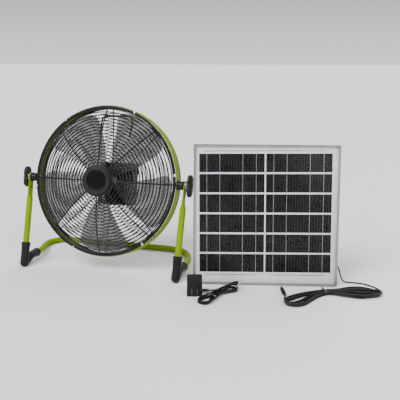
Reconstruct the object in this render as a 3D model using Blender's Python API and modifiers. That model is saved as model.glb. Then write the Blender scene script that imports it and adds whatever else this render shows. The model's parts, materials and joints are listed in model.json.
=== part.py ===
"""A portable solar fan kit: a drum fan that tilts on a tube stand, the framed solar panel that charges it,
and a plug-in adapter. Two leads, each in a hank, end in a DC plug. Metres, +Z up. The kit stands on Z = 0
with its front towards -Y, and the origin is the middle of its footprint."""

import math

import bmesh
import bpy
import numpy as np
from mathutils import Matrix, Vector

MM = 0.001
GAP = 0.3 * MM

# Where the kit's three items stand, and how they face
STAND_AT = Vector((-175.7, -2.1, 0)) * MM
PANEL_TURN = math.radians(12.1)
PANEL_LEAN = math.radians(8.45)
ADAPTER_AT = STAND_AT + Vector((280, -143.5, 0)) * MM
ADAPTER_TURN = math.radians(15.2)

# Stand
PIVOT_Z = 229 * MM
HEAD_TILT = math.radians(13.05)
LUG_X = 216 * MM
LUG_THICK = 4.6 * MM
LUG_WIDE = 23 * MM
FOOT_X = 211 * MM
FOOT_Y = -76 * MM
TUBE_R = 8 * MM
TUBE_WALL = 1.6 * MM
COLLAR_R = 10.4 * MM
SOCKET_PLAY = 0.55 * MM
SOLE_CUT = 1 * MM
BOLT_R = 4 * MM

# Head, about the tilt axis: +Y runs from the front guard to the controls
DRUM_R = 196 * MM
DRUM_WALL = 1.8 * MM
DRUM_FRONT = -6.7 * MM
DRUM_REAR = 25 * MM
WIRE_R = 1.5 * MM
DOME_TIP_R = 34 * MM
DOME_TIP_Y = -51 * MM
REAR_HOLE_R = 44 * MM
MOTOR_R = 40 * MM
SHAFT_R = 4 * MM
BLADE_COUNT = 5
BLADE_TIP_R = 177 * MM
HUB_R = 32 * MM
BOX_LOW = Vector((-49, 60, -62)) * MM
BOX_HIGH = Vector((49, 98, 52)) * MM
COVER_Y = 104 * MM

# Panel, from the middle of its front bottom edge: +Y runs to its back
PANEL_WIDE = 350 * MM
PANEL_TALL = 340 * MM
PANEL_DEEP = 17 * MM
LIP_WIDE = 4.5 * MM
RAIL_WALL = 1.6 * MM

# Leaning back, the panel stands on the rear edge of its bottom rail
PANEL_AT = STAND_AT + Vector((426.5, -36, 0)) * MM + Vector((0, 0, PANEL_DEEP * math.sin(PANEL_LEAN)))

LEAD_R = 1.75 * MM
HANK_TALL = 12 * MM


def clear_scene():
    for item in list(bpy.data.objects):
        bpy.data.objects.remove(item)


def new_collection(name):
    group = bpy.data.collections.new(name)
    bpy.context.scene.collection.children.link(group)
    return group


def new_material(name, colour, roughness, metallic=0.0):
    material = bpy.data.materials.new(name)
    material.use_nodes = True
    shader = material.node_tree.nodes["Principled BSDF"]
    shader.inputs["Base Color"].default_value = (*colour, 1)
    shader.inputs["Roughness"].default_value = roughness
    shader.inputs["Metallic"].default_value = metallic
    return material


clear_scene()
PARTS = new_collection("solar_fan_kit")
CUTTERS = new_collection("cutters")
LIME = new_material("lime_paint", (0.40, 0.52, 0.0), 0.35)
BLACK = new_material("black_plastic", (0.015, 0.015, 0.017), 0.45)
WIRE = new_material("black_wire", (0.012, 0.012, 0.013), 0.35, 0.6)
GREY = new_material("grey_plate", (0.06, 0.06, 0.065), 0.4)
GLOSS = new_material("gloss_black", (0.01, 0.01, 0.012), 0.12)
SMOKE = new_material("smoke_plastic", (0.10, 0.11, 0.12), 0.15)
STEEL = new_material("bright_steel", (0.62, 0.62, 0.64), 0.3, 1.0)
ALUMINIUM = new_material("aluminium", (0.62, 0.63, 0.65), 0.38, 1.0)
GLASS = new_material("panel_glass", (0.75, 0.8, 0.82), 0.05)
CELL = new_material("solar_cell", (0.008, 0.009, 0.014), 0.25)
WHITE = new_material("white_sheet", (0.8, 0.8, 0.82), 0.5)
BOARD = new_material("circuit_board", (0.03, 0.16, 0.06), 0.5)
WRAP = new_material("battery_wrap", (0.05, 0.12, 0.32), 0.4)
RUBBER = new_material("black_cable", (0.012, 0.012, 0.012), 0.5)


# Making and placing


def frame(name, location, rotation=(0, 0, 0), parent=None):
    empty = bpy.data.objects.new(name, None)
    CUTTERS.objects.link(empty)
    empty.location = location
    empty.rotation_euler = rotation
    empty.parent = parent
    return empty


def put(name, data, parent, material=None, location=(0, 0, 0), rotation=(0, 0, 0)):
    """An object of the kit, or a cutter where there is no material."""
    item = bpy.data.objects.new(name, data)
    (PARTS if material else CUTTERS).objects.link(item)
    item.parent = parent
    item.location = location
    item.rotation_euler = rotation
    if material:
        data.materials.append(material)
    else:
        item.hide_render = True
        item.display_type = "WIRE"
    return item


def finish(bm, name):
    bmesh.ops.recalc_face_normals(bm, faces=bm.faces)
    mesh = bpy.data.meshes.new(name)
    bm.to_mesh(mesh)
    bm.free()
    mesh.shade_smooth()
    mesh.set_sharp_from_angle(angle=math.radians(35))
    return mesh


def box(name, low, high, parent, material=None, bevel=0.0):
    low, high = Vector(low), Vector(high)
    bm = bmesh.new()
    size = Matrix.Diagonal((*(high - low), 1))
    bmesh.ops.create_cube(bm, size=1, matrix=Matrix.Translation((low + high) / 2) @ size)
    item = put(name, finish(bm, name), parent, material)
    if bevel:
        rounding = item.modifiers.new("rounded_edges", "BEVEL")
        rounding.width = bevel
        rounding.segments = 2
    return item


ALONG_X = (0, math.pi / 2, 0)
ALONG_MINUS_X = (0, -math.pi / 2, 0)
ALONG_Y = (-math.pi / 2, 0, 0)


def rod(name, radius, start, length, along, parent, material=None, sides=24, end_radius=None):
    """A cylinder or cone from start, along one of the directions above."""
    bm = bmesh.new()
    bmesh.ops.create_cone(
        bm, cap_ends=True, segments=sides, radius1=radius, depth=length,
        radius2=radius if end_radius is None else end_radius,
        matrix=Matrix.Translation((0, 0, length / 2)),
    )
    return put(name, finish(bm, name), parent, material, start, along)


def turned(name, profiles, along, parent, material, steps, closed=True, start=(0, 0, 0)):
    """Profiles of (radius, distance along the axis), each down its outer side, turned full circle."""
    bm = bmesh.new()
    for profile in profiles:
        points = [bm.verts.new((radius, 0, height)) for radius, height in profile]
        pairs = list(zip(points, points[1:]))
        if closed:
            pairs.append((points[-1], points[0]))
        for pair in pairs:
            bm.edges.new(pair)
    mesh = bpy.data.meshes.new(name)
    bm.to_mesh(mesh)
    bm.free()
    item = put(name, mesh, parent, material, start, along)
    screw = item.modifiers.new("turned", "SCREW")
    screw.steps = screw.render_steps = steps
    screw.use_merge_vertices = True
    screw.merge_threshold = 0.00001
    screw.use_smooth_shade = False
    return item


def ring_profile(inner, outer, low, high):
    """A rectangle that runs down its outer side."""
    return [(inner, high), (outer, high), (outer, low), (inner, low)]


def round_profile(radius, height, half):
    """A diamond about (radius, height) that runs down its outer side: one wire's section."""
    top, bottom = (radius, height + half), (radius, height - half)
    return [top, (radius + half, height), bottom, (radius - half, height)]


def cut(target, cutter, operation="DIFFERENCE"):
    boolean = target.modifiers.new(cutter.name, "BOOLEAN")
    boolean.operation = operation
    boolean.object = cutter
    return target


def as_mesh(item, material=None):
    """A curve's evaluated mesh with its caps welded, in the curve's place."""
    bpy.context.view_layer.update()
    evaluated = item.evaluated_get(bpy.context.evaluated_depsgraph_get())
    bm = bmesh.new()
    bm.from_mesh(bpy.data.meshes.new_from_object(evaluated))
    bmesh.ops.remove_doubles(bm, verts=bm.verts, dist=0.00001)
    name, parent = item.name, item.parent
    bpy.data.objects.remove(item)
    return put(name, finish(bm, name), parent, material)


def tube(name, paths, radius, parent, material=None, resolution=2):
    """Round bar along each list of points."""
    curve = bpy.data.curves.new(name, "CURVE")
    curve.dimensions = "3D"
    curve.bevel_depth = radius
    curve.bevel_resolution = resolution
    curve.use_fill_caps = True
    for path in paths:
        spline = curve.splines.new("POLY")
        spline.points.add(len(path) - 1)
        for point, place in zip(spline.points, path):
            point.co = (*place, 1)
    return put(name, curve, parent, material)


def slab(name, outline, low, high, parent, material):
    """A flat outline, extruded upright from low to high."""
    curve = bpy.data.curves.new(name, "CURVE")
    curve.dimensions = "2D"
    curve.fill_mode = "BOTH"
    curve.extrude = (high - low) / 2
    spline = curve.splines.new("POLY")
    spline.points.add(len(outline) - 1)
    for point, (x, y) in zip(spline.points, outline):
        point.co = (x, y, 0, 1)
    spline.use_cyclic_u = True
    return put(name, curve, parent, material, (0, 0, (low + high) / 2))


def smooth(points, count):
    """Count points, evenly spaced, on a Catmull-Rom curve through the given ones."""
    given = np.array([tuple(p) for p in points], float)
    ends = np.vstack([2 * given[0] - given[1], given, 2 * given[-1] - given[-2]])
    t = np.linspace(0, 1, 24, endpoint=False)[:, None]
    fine = [
        0.5 * (2 * b + (c - a) * t + (2 * a - 5 * b + 4 * c - d) * t**2 + (3 * b - a - 3 * c + d) * t**3)
        for a, b, c, d in zip(ends, ends[1:], ends[2:], ends[3:])
    ]
    fine = np.vstack([*fine, given[-1:]])
    run = np.r_[0, np.cumsum(np.linalg.norm(np.diff(fine, axis=0), axis=1))]
    at = np.linspace(0, run[-1], count)
    return np.column_stack([np.interp(at, run, fine[:, k]) for k in range(fine.shape[1])])


def mm(*points):
    return [Vector(p) * MM for p in points]


# Stand


def leg_point(side, height):
    """The middle of a leg at a height: its centreline runs from the foot to the pivot."""
    share = height / PIVOT_Z
    return Vector((side * (FOOT_X + (LUG_X - FOOT_X) * share), FOOT_Y * (1 - share), height))


def leg(name, side, stand):
    """A round tube pressed flat round the pivot, bored from its lower end."""
    along = (leg_point(side, PIVOT_Z) - leg_point(side, 0)).normalized()
    across = along.cross(Vector((1, 0, 0))).normalized()
    # Height, half thickness and half width of each section
    half = LUG_WIDE / 2
    sections = [(36 * MM, TUBE_R, TUBE_R), (172 * MM, TUBE_R, TUBE_R), (182 * MM, 6.6 * MM, 9.4 * MM)]
    sections += [(194 * MM, LUG_THICK / 2, half), (PIVOT_Z, LUG_THICK / 2, half)]
    sections += [
        (PIVOT_Z + half * math.sin(turn), LUG_THICK / 2, max(half * math.cos(turn), 1.2 * MM))
        for turn in np.radians([30, 55, 72, 86])
    ]
    bm = bmesh.new()
    rings = []
    for height, thick, wide in sections:
        middle = leg_point(side, height)
        turns = np.linspace(0, 2 * math.pi, 16, endpoint=False)
        points = [middle + Vector((thick * math.cos(t), 0, 0)) + across * wide * math.sin(t) for t in turns]
        rings.append([bm.verts.new(p) for p in points])
    for lower, upper in zip(rings, rings[1:]):
        for k in range(len(lower)):
            bm.faces.new((lower[k - 1], lower[k], upper[k], upper[k - 1]))
    bm.faces.new(rings[0])
    bm.faces.new(rings[-1])
    item = put(name, finish(bm, name), stand, LIME)
    hollow = [leg_point(side, 30 * MM), leg_point(side, 168 * MM)]
    bore = tube(name + "_bore", [hollow], TUBE_R - TUBE_WALL, stand)
    cut(item, as_mesh(bore))
    hole_start = (side * (LUG_X - 12 * MM), 0, PIVOT_Z)
    along_x = ALONG_X if side > 0 else ALONG_MINUS_X
    hole = rod(name + "_hole", BOLT_R + GAP, hole_start, 24 * MM, along_x, stand)
    return cut(item, hole)


# The rear tube's halves, from inside a foot to the middle of the crossbar. The left half bulges out and the
# right half is drawn in. Both are given on the right.
REAR_START = ((211.0, -36, 19.6), (211.5, -22, 18.8), (212, -8, 18.0))
REAR_LEFT = (
    *REAR_START, (216, 18, 15.6), (226, 50, 12.2), (237, 84, 9.2), (236, 112, 8.2),
    (219, 134, 8.1), (188, 143, 8.1), (150, 143.5, 8.1), (75, 143.5, 8.1), (0, 143.5, 8.1),
)
REAR_RIGHT = (
    *REAR_START, (210.5, 18, 15.6), (205.5, 50, 12.2), (198, 82, 9.4), (188, 106, 8.4),
    (172, 126, 8.1), (150, 138, 8.1), (118, 142.8, 8.1), (75, 143.5, 8.1), (0, 143.5, 8.1),
)


def arm(socket, direction, toe, toe_r):
    """Half of an elbow foot: the hull of the round toe and the collar's rim."""
    bm = bmesh.new()
    bmesh.ops.create_uvsphere(bm, u_segments=12, v_segments=8, radius=toe_r, matrix=Matrix.Translation(toe))
    turn = Vector((0, 0, 1)).rotation_difference(direction).to_matrix().to_4x4()
    for back in (0, 16 * MM):
        rim = Matrix.Translation(socket - direction * back) @ turn
        bmesh.ops.create_circle(bm, segments=16, radius=COLLAR_R, matrix=rim)
    hull = bmesh.ops.convex_hull(bm, input=bm.verts)
    inside = [v for v in hull["geom_interior"] if isinstance(v, bmesh.types.BMVert)]
    loose = [f for f in bm.faces if f not in set(hull["geom"])]
    bmesh.ops.delete(bm, geom=loose, context="FACES_ONLY")
    bmesh.ops.delete(bm, geom=inside, context="VERTS")
    return bm


def foot(name, side, stand):
    """An elbow: one arm holds the leg, the other the rear tube, and the toe rests on the floor."""
    toe_r = 10.5 * MM
    toe = leg_point(side, 11 * MM)
    toe.z = toe_r - SOLE_CUT
    leg_way = (leg_point(side, PIVOT_Z) - leg_point(side, 0)).normalized()
    first, _, mouth = (Vector((side * x, y, z)) * MM for x, y, z in REAR_START)
    rear_way = (mouth - first).normalized()
    item = put(name, finish(arm(leg_point(side, 62 * MM), leg_way, toe, toe_r), name), stand, BLACK)
    rear = put(name + "_rear_arm", finish(arm(mouth, rear_way, toe, toe_r), name), stand)
    cut(item, rear, "UNION")
    web_at = leg_point(side, 30 * MM) + Vector((0, 14, -4)) * MM
    web = put(name + "_web", finish(arm(web_at, rear_way, toe, toe_r * 0.8), name), stand)
    cut(item, web, "UNION")
    leg_socket = [[leg_point(side, 35 * MM), leg_point(side, 70 * MM)]]
    rear_socket = [[first - rear_way * 0.6 * MM, mouth + rear_way * 4 * MM]]
    for part, path in (("leg", leg_socket), ("rear", rear_socket)):
        cut(item, as_mesh(tube(f"{name}_{part}_socket", path, TUBE_R + SOCKET_PLAY, stand, resolution=6)))
    low = (side * FOOT_X - 30 * MM, -110 * MM, -20 * MM)
    high = (side * FOOT_X + 30 * MM, 30 * MM, 0)
    return cut(item, box(name + "_sole", low, high, stand))


def stand_parts(stand):
    for word, side in (("left", -1), ("right", 1)):
        leg(f"leg_{word}", side, stand)
        foot(f"foot_{word}", side, stand)
    left, right = (smooth(mm(*route), 25) for route in (REAR_LEFT, REAR_RIGHT))
    whole = np.vstack([left * (-1, 1, 1), right[-2::-1]])
    rear = as_mesh(tube("rear_tube", [whole], TUBE_R, stand, resolution=2), LIME)
    past = [whole[0] + (whole[0] - whole[1]) * 0.3, *whole[1:-1], whole[-1] + (whole[-1] - whole[-2]) * 0.3]
    cut(rear, as_mesh(tube("rear_tube_bore", [past], TUBE_R - TUBE_WALL, stand, resolution=0)))


# Tilt pivots


def knob_outline(waist=10.5, tip=28, points=40):
    """Two wings along the outline's first axis."""
    turns = np.linspace(0, 2 * math.pi, points, endpoint=False)
    reach = (waist + (tip - waist) * np.abs(np.cos(turns)) ** 3) * MM
    return np.column_stack([reach * np.cos(turns), reach * np.sin(turns)])


def pivot_parts(word, side, head):
    along = ALONG_X if side > 0 else ALONG_MINUS_X
    lug_face = LUG_X + LUG_THICK / 2
    boss_face = DRUM_R + GAP
    lug_inner = LUG_X - LUG_THICK / 2

    def at(distance):
        return (side * distance, 0, 0)

    def collar(name, start, end, radius, material):
        profile = ring_profile(BOLT_R + GAP, radius, 0, end - start)
        turned(f"{name}_{word}", [profile], along, head, material, 20, start=at(start))

    collar("pivot_boss", boss_face, lug_inner - GAP, 12 * MM, BLACK)
    collar("clamp_washer", lug_face + GAP, lug_face + 1.5 * MM, 11 * MM, STEEL)
    head_end = DRUM_R - DRUM_WALL - 0.5 * MM
    tip = 232 * MM
    profile = [(0, tip - head_end), (BOLT_R, tip - head_end), (BOLT_R, 0), (7 * MM, 0)]
    profile += [(7 * MM, -5 * MM), (0, -5 * MM)]
    turned(f"clamp_bolt_{word}", [profile], along, head, STEEL, 16, closed=False, start=at(head_end))
    knob_start = lug_face + 1.5 * MM + GAP
    knob_end = 236 * MM
    outline = slab(f"clamp_knob_{word}", knob_outline(), 0, knob_end - knob_start, head, BLACK)
    outline.rotation_euler = along
    outline.location = at((knob_start + knob_end) / 2)
    knob = as_mesh_in_place(outline, BLACK)
    bore_long = tip - knob_start + 2 * MM
    cut(knob, rod(f"knob_bore_{word}", BOLT_R + GAP, at(knob_start - MM), bore_long, along, head))


def as_mesh_in_place(item, material):
    place, turn = item.location.copy(), item.rotation_euler.copy()
    mesh = as_mesh(item, material)
    mesh.location, mesh.rotation_euler = place, turn
    return mesh


# Head


def dome_y(radius):
    """The front guard's depth at a radius: a flattened dome."""
    share = max(radius - DOME_TIP_R, 0) / (190 * MM - DOME_TIP_R)
    return DOME_TIP_Y * (1 - share**2.3) - 10.5 * MM * share**2.3


def dish_y(radius):
    """The rear guard's depth at a radius: a shallow dish."""
    share = (radius - REAR_HOLE_R) / (190 * MM - REAR_HOLE_R)
    return 40 * MM - 13 * MM * share**2


def guard(name, depth, ring_radii, bands, spoke_ends, head):
    """Rings turned about the fan's axis, joined to eight radial wires."""
    rings = [round_profile(r * MM, depth(r * MM), 1.6 * MM) for r in ring_radii]
    item = turned(name, rings + bands, ALONG_Y, head, WIRE, 32)
    radii = np.linspace(spoke_ends[0] * MM, spoke_ends[1] * MM, 5)
    spokes = []
    for k in range(8):
        angle = k * math.pi / 4
        spokes.append([(r * math.cos(angle), depth(r), r * math.sin(angle)) for r in radii])
    wires = as_mesh(tube(name + "_wires", spokes, WIRE_R, head, resolution=0))
    return cut(item, wires, "UNION")


SCREW_ANGLES = [math.radians(7 + 60 * k) for k in range(6)]


def front_guard(head):
    rim = ring_profile(189.5 * MM, DRUM_R, -12.5 * MM, DRUM_FRONT - GAP)
    plate_ring = ring_profile(29 * MM, 36 * MM, -52.5 * MM, -49.5 * MM)
    item = guard("front_grille", dome_y, (84, 136), [rim, plate_ring], (33, 192), head)
    for k, angle in enumerate(SCREW_ANGLES, 1):
        at = (192.6 * MM * math.cos(angle), -14.6 * MM, 192.6 * MM * math.sin(angle))
        profile = mm((0, 6), (1.4, 6), (1.4, 1.8), (3.1, 1.8), (3.1, 0), (0, 0))
        turned(f"grille_screw_{k}", [profile], ALONG_Y, head, STEEL, 12, closed=False, start=at)
        cut(item, rod(f"screw_hole_{k}", 1.7 * MM, at, 12 * MM, ALONG_Y, head, sides=12))
    plate = mm((0, -53), (34, -53), (36, -54), (36, -55.4), (34, -56.4), (0, -56.4))
    turned("grille_plate", [plate], ALONG_Y, head, GREY, 32, closed=False)
    badge = mm((0, -56.7), (24, -56.7), (24, -57.6), (23, -58.2), (0, -58.2))
    turned("grille_badge", [badge], ALONG_Y, head, GLOSS, 32, closed=False)


def rear_guard(head):
    rim = ring_profile(189.5 * MM, DRUM_R, DRUM_REAR + GAP, 29 * MM)
    motor_ring = ring_profile(MOTOR_R + GAP, 47 * MM, 37.5 * MM, 41.5 * MM)
    guard("rear_grille", dish_y, (92, 141), [rim, motor_ring], (45, 192), head)


def drum(head):
    inner = DRUM_R - DRUM_WALL
    profile = [
        (inner, DRUM_REAR), (DRUM_R, DRUM_REAR), (DRUM_R, 1 * MM), (DRUM_R + 0.2 * MM, 0),
        (DRUM_R + 0.2 * MM, -3 * MM), (DRUM_R, DRUM_FRONT), (inner, DRUM_FRONT),
    ]
    item = turned("drum_hoop", [profile], ALONG_Y, head, LIME, 48)
    for side, along in ((1, ALONG_X), (-1, ALONG_MINUS_X)):
        start = (side * (DRUM_R - 8 * MM), 0, 0)
        cut(item, rod(f"drum_hole_{side}", BOLT_R + GAP, start, 14 * MM, along, head, sides=16))


def handle(head):
    """A bent rod that stands off the rear guard and leans back from it."""
    side = [(43.5, 39, 122), (43.5, 45, 131), (43.8, 50, 145), (44, 53, 160)]
    side += [(42, 54.5, 169), (34, 56, 175.5), (24, 56, 176)]
    whole = [(-x, y, z) for x, y, z in side] + [(0, 56, 176)] + [(x, y, z) for x, y, z in reversed(side)]
    tube("carry_handle", [smooth(mm(*whole), 30)], 2.5 * MM, head, BLACK, resolution=2)


def blades(head):
    """Five pitched blades on one hub, turned about the shaft."""
    bm = bmesh.new()
    for k in range(BLADE_COUNT):
        middle = math.radians(46 + 72 * k)
        grid = []
        for share in np.linspace(0, 1, 5):
            radius = 27 * MM + (BLADE_TIP_R - 27 * MM) * share
            spread = math.radians(34 + 16 * math.sin(math.pi * min(share, 0.5)))
            sweep = math.radians(10) * share
            deep = (15 - 5 * share) * MM
            row = []
            for along in np.linspace(-0.5, 0.5, 4):
                angle = middle + sweep + spread * along
                y = -MM - 2 * deep * along + 2 * MM * (1 - 4 * along**2)
                row.append(bm.verts.new((radius * math.cos(angle), y, radius * math.sin(angle))))
            grid.append(row)
        for inner, outer in zip(grid, grid[1:]):
            for j in range(len(inner) - 1):
                bm.faces.new((inner[j], inner[j + 1], outer[j + 1], outer[j]))
    sheets = put("blade_sheets", finish(bm, "blade_sheets"), head)
    wall = sheets.modifiers.new("blade_thickness", "SOLIDIFY")
    wall.thickness = 2.2 * MM
    wall.offset = 0
    hub_ring = ring_profile(SHAFT_R + GAP, HUB_R, -22 * MM, 12 * MM)
    hub = turned("fan_blades", [hub_ring], ALONG_Y, head, SMOKE, 32)
    cut(hub, sheets, "UNION")


def drive(head):
    blades(head)
    nut = [(0, -22.3 * MM - 14 * MM), (8 * MM, -34 * MM), (11 * MM, -30 * MM), (11 * MM, -22.3 * MM),
           (SHAFT_R + GAP, -22.3 * MM), (SHAFT_R + GAP, -31 * MM), (0, -31 * MM)]
    turned("blade_nut", [nut[::-1]], ALONG_Y, head, BLACK, 20, closed=False)
    rod("motor_shaft", SHAFT_R, (0, -30 * MM, 0), 66 * MM, ALONG_Y, head, STEEL, sides=16)
    case = [(0, 59.7 * MM), (MOTOR_R - 3 * MM, 59.7 * MM), (MOTOR_R - MM, 57 * MM), (MOTOR_R, 52 * MM)]
    case += [(MOTOR_R, 22 * MM), (MOTOR_R - 4 * MM, 18 * MM)]
    case += [(SHAFT_R + GAP, 18 * MM), (SHAFT_R + GAP, 38 * MM), (0, 38 * MM)]
    turned("motor_housing", [case], ALONG_Y, head, BLACK, 32, closed=False)


def control_box(head):
    wall = 2.5 * MM
    inset = Vector((wall, wall, wall))
    shell = box("control_box", BOX_LOW, BOX_HIGH, head, BLACK, bevel=4 * MM)
    hollow_high = BOX_HIGH - inset + Vector((0, 10 * MM, 0))
    cut(shell, box("box_hollow", BOX_LOW + inset, hollow_high, head))
    cover_low = Vector((BOX_LOW.x, BOX_HIGH.y + GAP, BOX_LOW.z))
    cover = box("control_cover", cover_low, (BOX_HIGH.x, COVER_Y, BOX_HIGH.z), head, BLACK, bevel=1.5 * MM)
    box("battery_pack", Vector((-37, 64, -57)) * MM, Vector((37, 84, -2)) * MM, head, WRAP, bevel=2 * MM)
    box("control_board", Vector((-42, 64, 4)) * MM, Vector((42, 65.6, 46)) * MM, head, BOARD)

    def opening(name, low, high):
        cut(cover, box(name, Vector(low) * MM, Vector(high) * MM, head))

    dial_at = (0, COVER_Y + GAP, 24 * MM)
    stem = mm((0, 11), (14, 11), (15, 9), (16, 0), (3, 0), (3, -16), (0, -16))
    turned("speed_dial", [stem], ALONG_Y, head, BLACK, 24, closed=False, start=dial_at)
    cut(cover, rod("dial_hole", 3.4 * MM, (0, 90 * MM, 24 * MM), 20 * MM, ALONG_Y, head, sides=16))
    button_at = (-26 * MM, 92 * MM, -16 * MM)
    rod("power_button", 5.5 * MM, button_at, 14.5 * MM, ALONG_Y, head, BLACK, sides=20)
    hole_at = (-26 * MM, 94 * MM, -16 * MM)
    cut(cover, rod("button_hole", 5.9 * MM, hole_at, 16 * MM, ALONG_Y, head, sides=20))
    socket = box("usb_socket", Vector((12, 92, -20)) * MM, Vector((28, 103.5, -12)) * MM, head, STEEL)
    cut(socket, box("usb_mouth", Vector((13, 95, -19)) * MM, Vector((27, 110, -13)) * MM, head))
    opening("usb_hole", (11.7, 94, -20.3), (28.3, 110, -11.7))
    jack = [ring_profile(3 * MM, 5.5 * MM, 0, 11 * MM)]
    turned("dc_socket", jack, ALONG_Y, head, BLACK, 20, start=(20 * MM, 92.4 * MM, -42 * MM))
    cut(cover, rod("jack_hole", 5.9 * MM, (20 * MM, 94 * MM, -42 * MM), 16 * MM, ALONG_Y, head, sides=20))
    box("charge_lens", Vector((-37, 98.6, -44)) * MM, Vector((-15, 104.5, -40)) * MM, head, GLASS)
    opening("lens_hole", (-37.3, 94, -44.3), (-14.7, 110, -39.7))


# Solar panel


def panel_parts(panel):
    half, tall = PANEL_WIDE / 2, PANEL_TALL
    rails = box("panel_frame", (-half, 0, 0), (half, PANEL_DEEP, tall), panel, ALUMINIUM)
    lip, wall, flange = LIP_WIDE, RAIL_WALL, 13 * MM

    def hollow(name, inset, low, high):
        cut(rails, box(name, (-half + inset, low, inset), (half - inset, high, tall - inset), panel))

    hollow("front_opening", lip, -5 * MM, 3 * MM)
    hollow("rail_channel", wall, 1.5 * MM, PANEL_DEEP - 1.5 * MM)
    hollow("rear_opening", flange, PANEL_DEEP - 3 * MM, PANEL_DEEP + 5 * MM)
    edge = wall + GAP

    def sheet(name, low, high, material):
        box(name, (-half + edge, low, edge), (half - edge, high, tall - edge), panel, material)

    sheet("panel_glass", 1.8 * MM, 4.8 * MM, GLASS)
    sheet("cell_sheet", 5.1 * MM, 5.9 * MM, CELL)
    sheet("back_sheet", 6.2 * MM, 7.0 * MM, WHITE)
    low, high = Vector((88, 7.3, 35)) * MM, Vector((140, 27, 85)) * MM
    case = box("junction_box", low, high, panel, BLACK, bevel=2 * MM)
    cut(case, box("junction_hollow", Vector((91, 10, 38)) * MM, Vector((137, 40, 82)) * MM, panel))
    low, high = Vector((88, 27.3, 35)) * MM, Vector((140, 29.5, 85)) * MM
    box("junction_lid", low, high, panel, BLACK, bevel=0.8 * MM)
    gland = [ring_profile(LEAD_R + 0.2 * MM, 6 * MM, 0, 8 * MM)]
    turned("cable_gland", gland, ALONG_X, panel, BLACK, 16, start=Vector((140.3, 20.5, 60)) * MM)


# The folding rear prop, from its hinge down to the floor
PROP_HINGE = Vector((0, 23.5, 245)) * MM
PROP_HALF = 80 * MM
PROP_R = 2.5 * MM
PROP_SLANT = math.radians(11.2)
HINGE_HEIGHT = PANEL_AT.z + PROP_HINGE.z * math.cos(PANEL_LEAN) - PROP_HINGE.y * math.sin(PANEL_LEAN)
PROP_DROP = (HINGE_HEIGHT - PROP_R - GAP) / math.cos(PROP_SLANT)


def prop_parts(panel, prop):
    for word, side in (("left", -1), ("right", 1)):
        middle = side * (PROP_HALF + 13.5 * MM)
        low = Vector((middle - 5.5 * MM, 7.3 * MM, PROP_HINGE.z - 8 * MM))
        high = Vector((middle + 5.5 * MM, PROP_HINGE.y + 5 * MM, PROP_HINGE.z + 8 * MM))
        bracket = box(f"prop_bracket_{word}", low, high, panel, STEEL, bevel=1.5 * MM)
        start = (side * PROP_HALF, PROP_HINGE.y, PROP_HINGE.z)
        along = ALONG_X if side > 0 else ALONG_MINUS_X
        cut(bracket, rod(f"prop_hole_{word}", PROP_R + 2 * GAP, start, 40 * MM, along, panel, sides=16))
    half, drop = PROP_HALF / MM, PROP_DROP / MM
    side = [(half + 21, 0, 0), (half + 14, 0, 0), (half + 7, 0, 0), (half + 2, 0, -1.8), (half, 0, -7)]
    side += [(half, 0, -20), (half, 0, -120), (half, 0, 20 - drop)]
    side += [(half - 4, 0, 4 - drop), (half - 16, 0, -drop)]
    whole = [(-x, y, z) for x, y, z in side] + [(0, 0, -drop)] + side[::-1]
    tube("prop_leg", [smooth(mm(*whole), 46)], PROP_R, prop, STEEL, resolution=2)


# Adapter


PIN_Y = 4 * MM
PIN_Z = 25 * MM


def adapter_parts(adapter):
    half, deep, tall = 18 * MM, 28 * MM, 46 * MM
    body = box("adapter_body", (-half, 0, 0), (half, deep, tall), adapter, BLACK, bevel=2.5 * MM)
    for word, side in (("left", -1), ("right", 1)):
        x = side * 6.35 * MM
        low, high = (x - 1.3 * MM, -2 * MM, 3 * MM), (x + 1.3 * MM, 7.8 * MM, 29 * MM)
        cut(body, box(f"pin_slot_{word}", low, high, adapter))
    start = (-10 * MM, PIN_Y, PIN_Z)
    cut(body, rod("pin_bore", 1.8 * MM, start, 20 * MM, ALONG_X, adapter, sides=12))
    pins = rod("adapter_pins", 1.5 * MM, (-9 * MM, PIN_Y, PIN_Z), 18 * MM, ALONG_X, adapter, STEEL, sides=12)
    for word, side in (("left", -1), ("right", 1)):
        x = side * 6.35 * MM
        low, high = (x - 0.75 * MM, 0.8 * MM, 5 * MM), (x + 0.75 * MM, 7.2 * MM, 27 * MM)
        cut(pins, box(f"pin_blade_{word}", low, high, adapter), "UNION")
    relief = [(LEAD_R + 0.1 * MM, 15 * MM), (2.6 * MM, 15 * MM), (4 * MM, 0), (LEAD_R + 0.1 * MM, 0)]
    turned("adapter_relief", [relief], ALONG_X, adapter, BLACK, 16, start=(half + GAP, 22 * MM, 7 * MM))


# Leads: each route's own points and each hank's spine, from the stand's place, in millimetres
ADAPTER_SPINE = (
    (306, -182, 5), (313, -158, 15), (323, -136, 12), (334, -113, 8), (349, -93, 11), (366, -75, 6),
)
LEAD_SPINE = (
    (488, -130, 9), (507.5, -119, 24), (521, -95, 22.5), (549, -62, 14), (582, -40, 8),
    (616, -36, 22), (641, -28, 31), (665, -24, 29), (686, -26, 14), (699, -21, 5),
)


def hank(name, spine, stand):
    """A flat outline round the spine, whose third number is the half width there, with round ends."""
    line = smooth([(x, y, w) for x, y, w in spine], 22) * MM
    way = np.gradient(line[:, :2], axis=0)
    way /= np.linalg.norm(way, axis=1)[:, None]
    side = np.column_stack([-way[:, 1], way[:, 0]])
    left = line[:, :2] + side * line[:, 2:]
    right = line[:, :2] - side * line[:, 2:]
    nose = line[-1, :2] + way[-1] * line[-1, 2] * 0.7
    tail = line[0, :2] - way[0] * line[0, 2] * 0.7
    outline = np.vstack([left, nose, right[::-1], tail])
    slab(name, outline, 0.2 * MM, HANK_TALL, stand, RUBBER)


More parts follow.
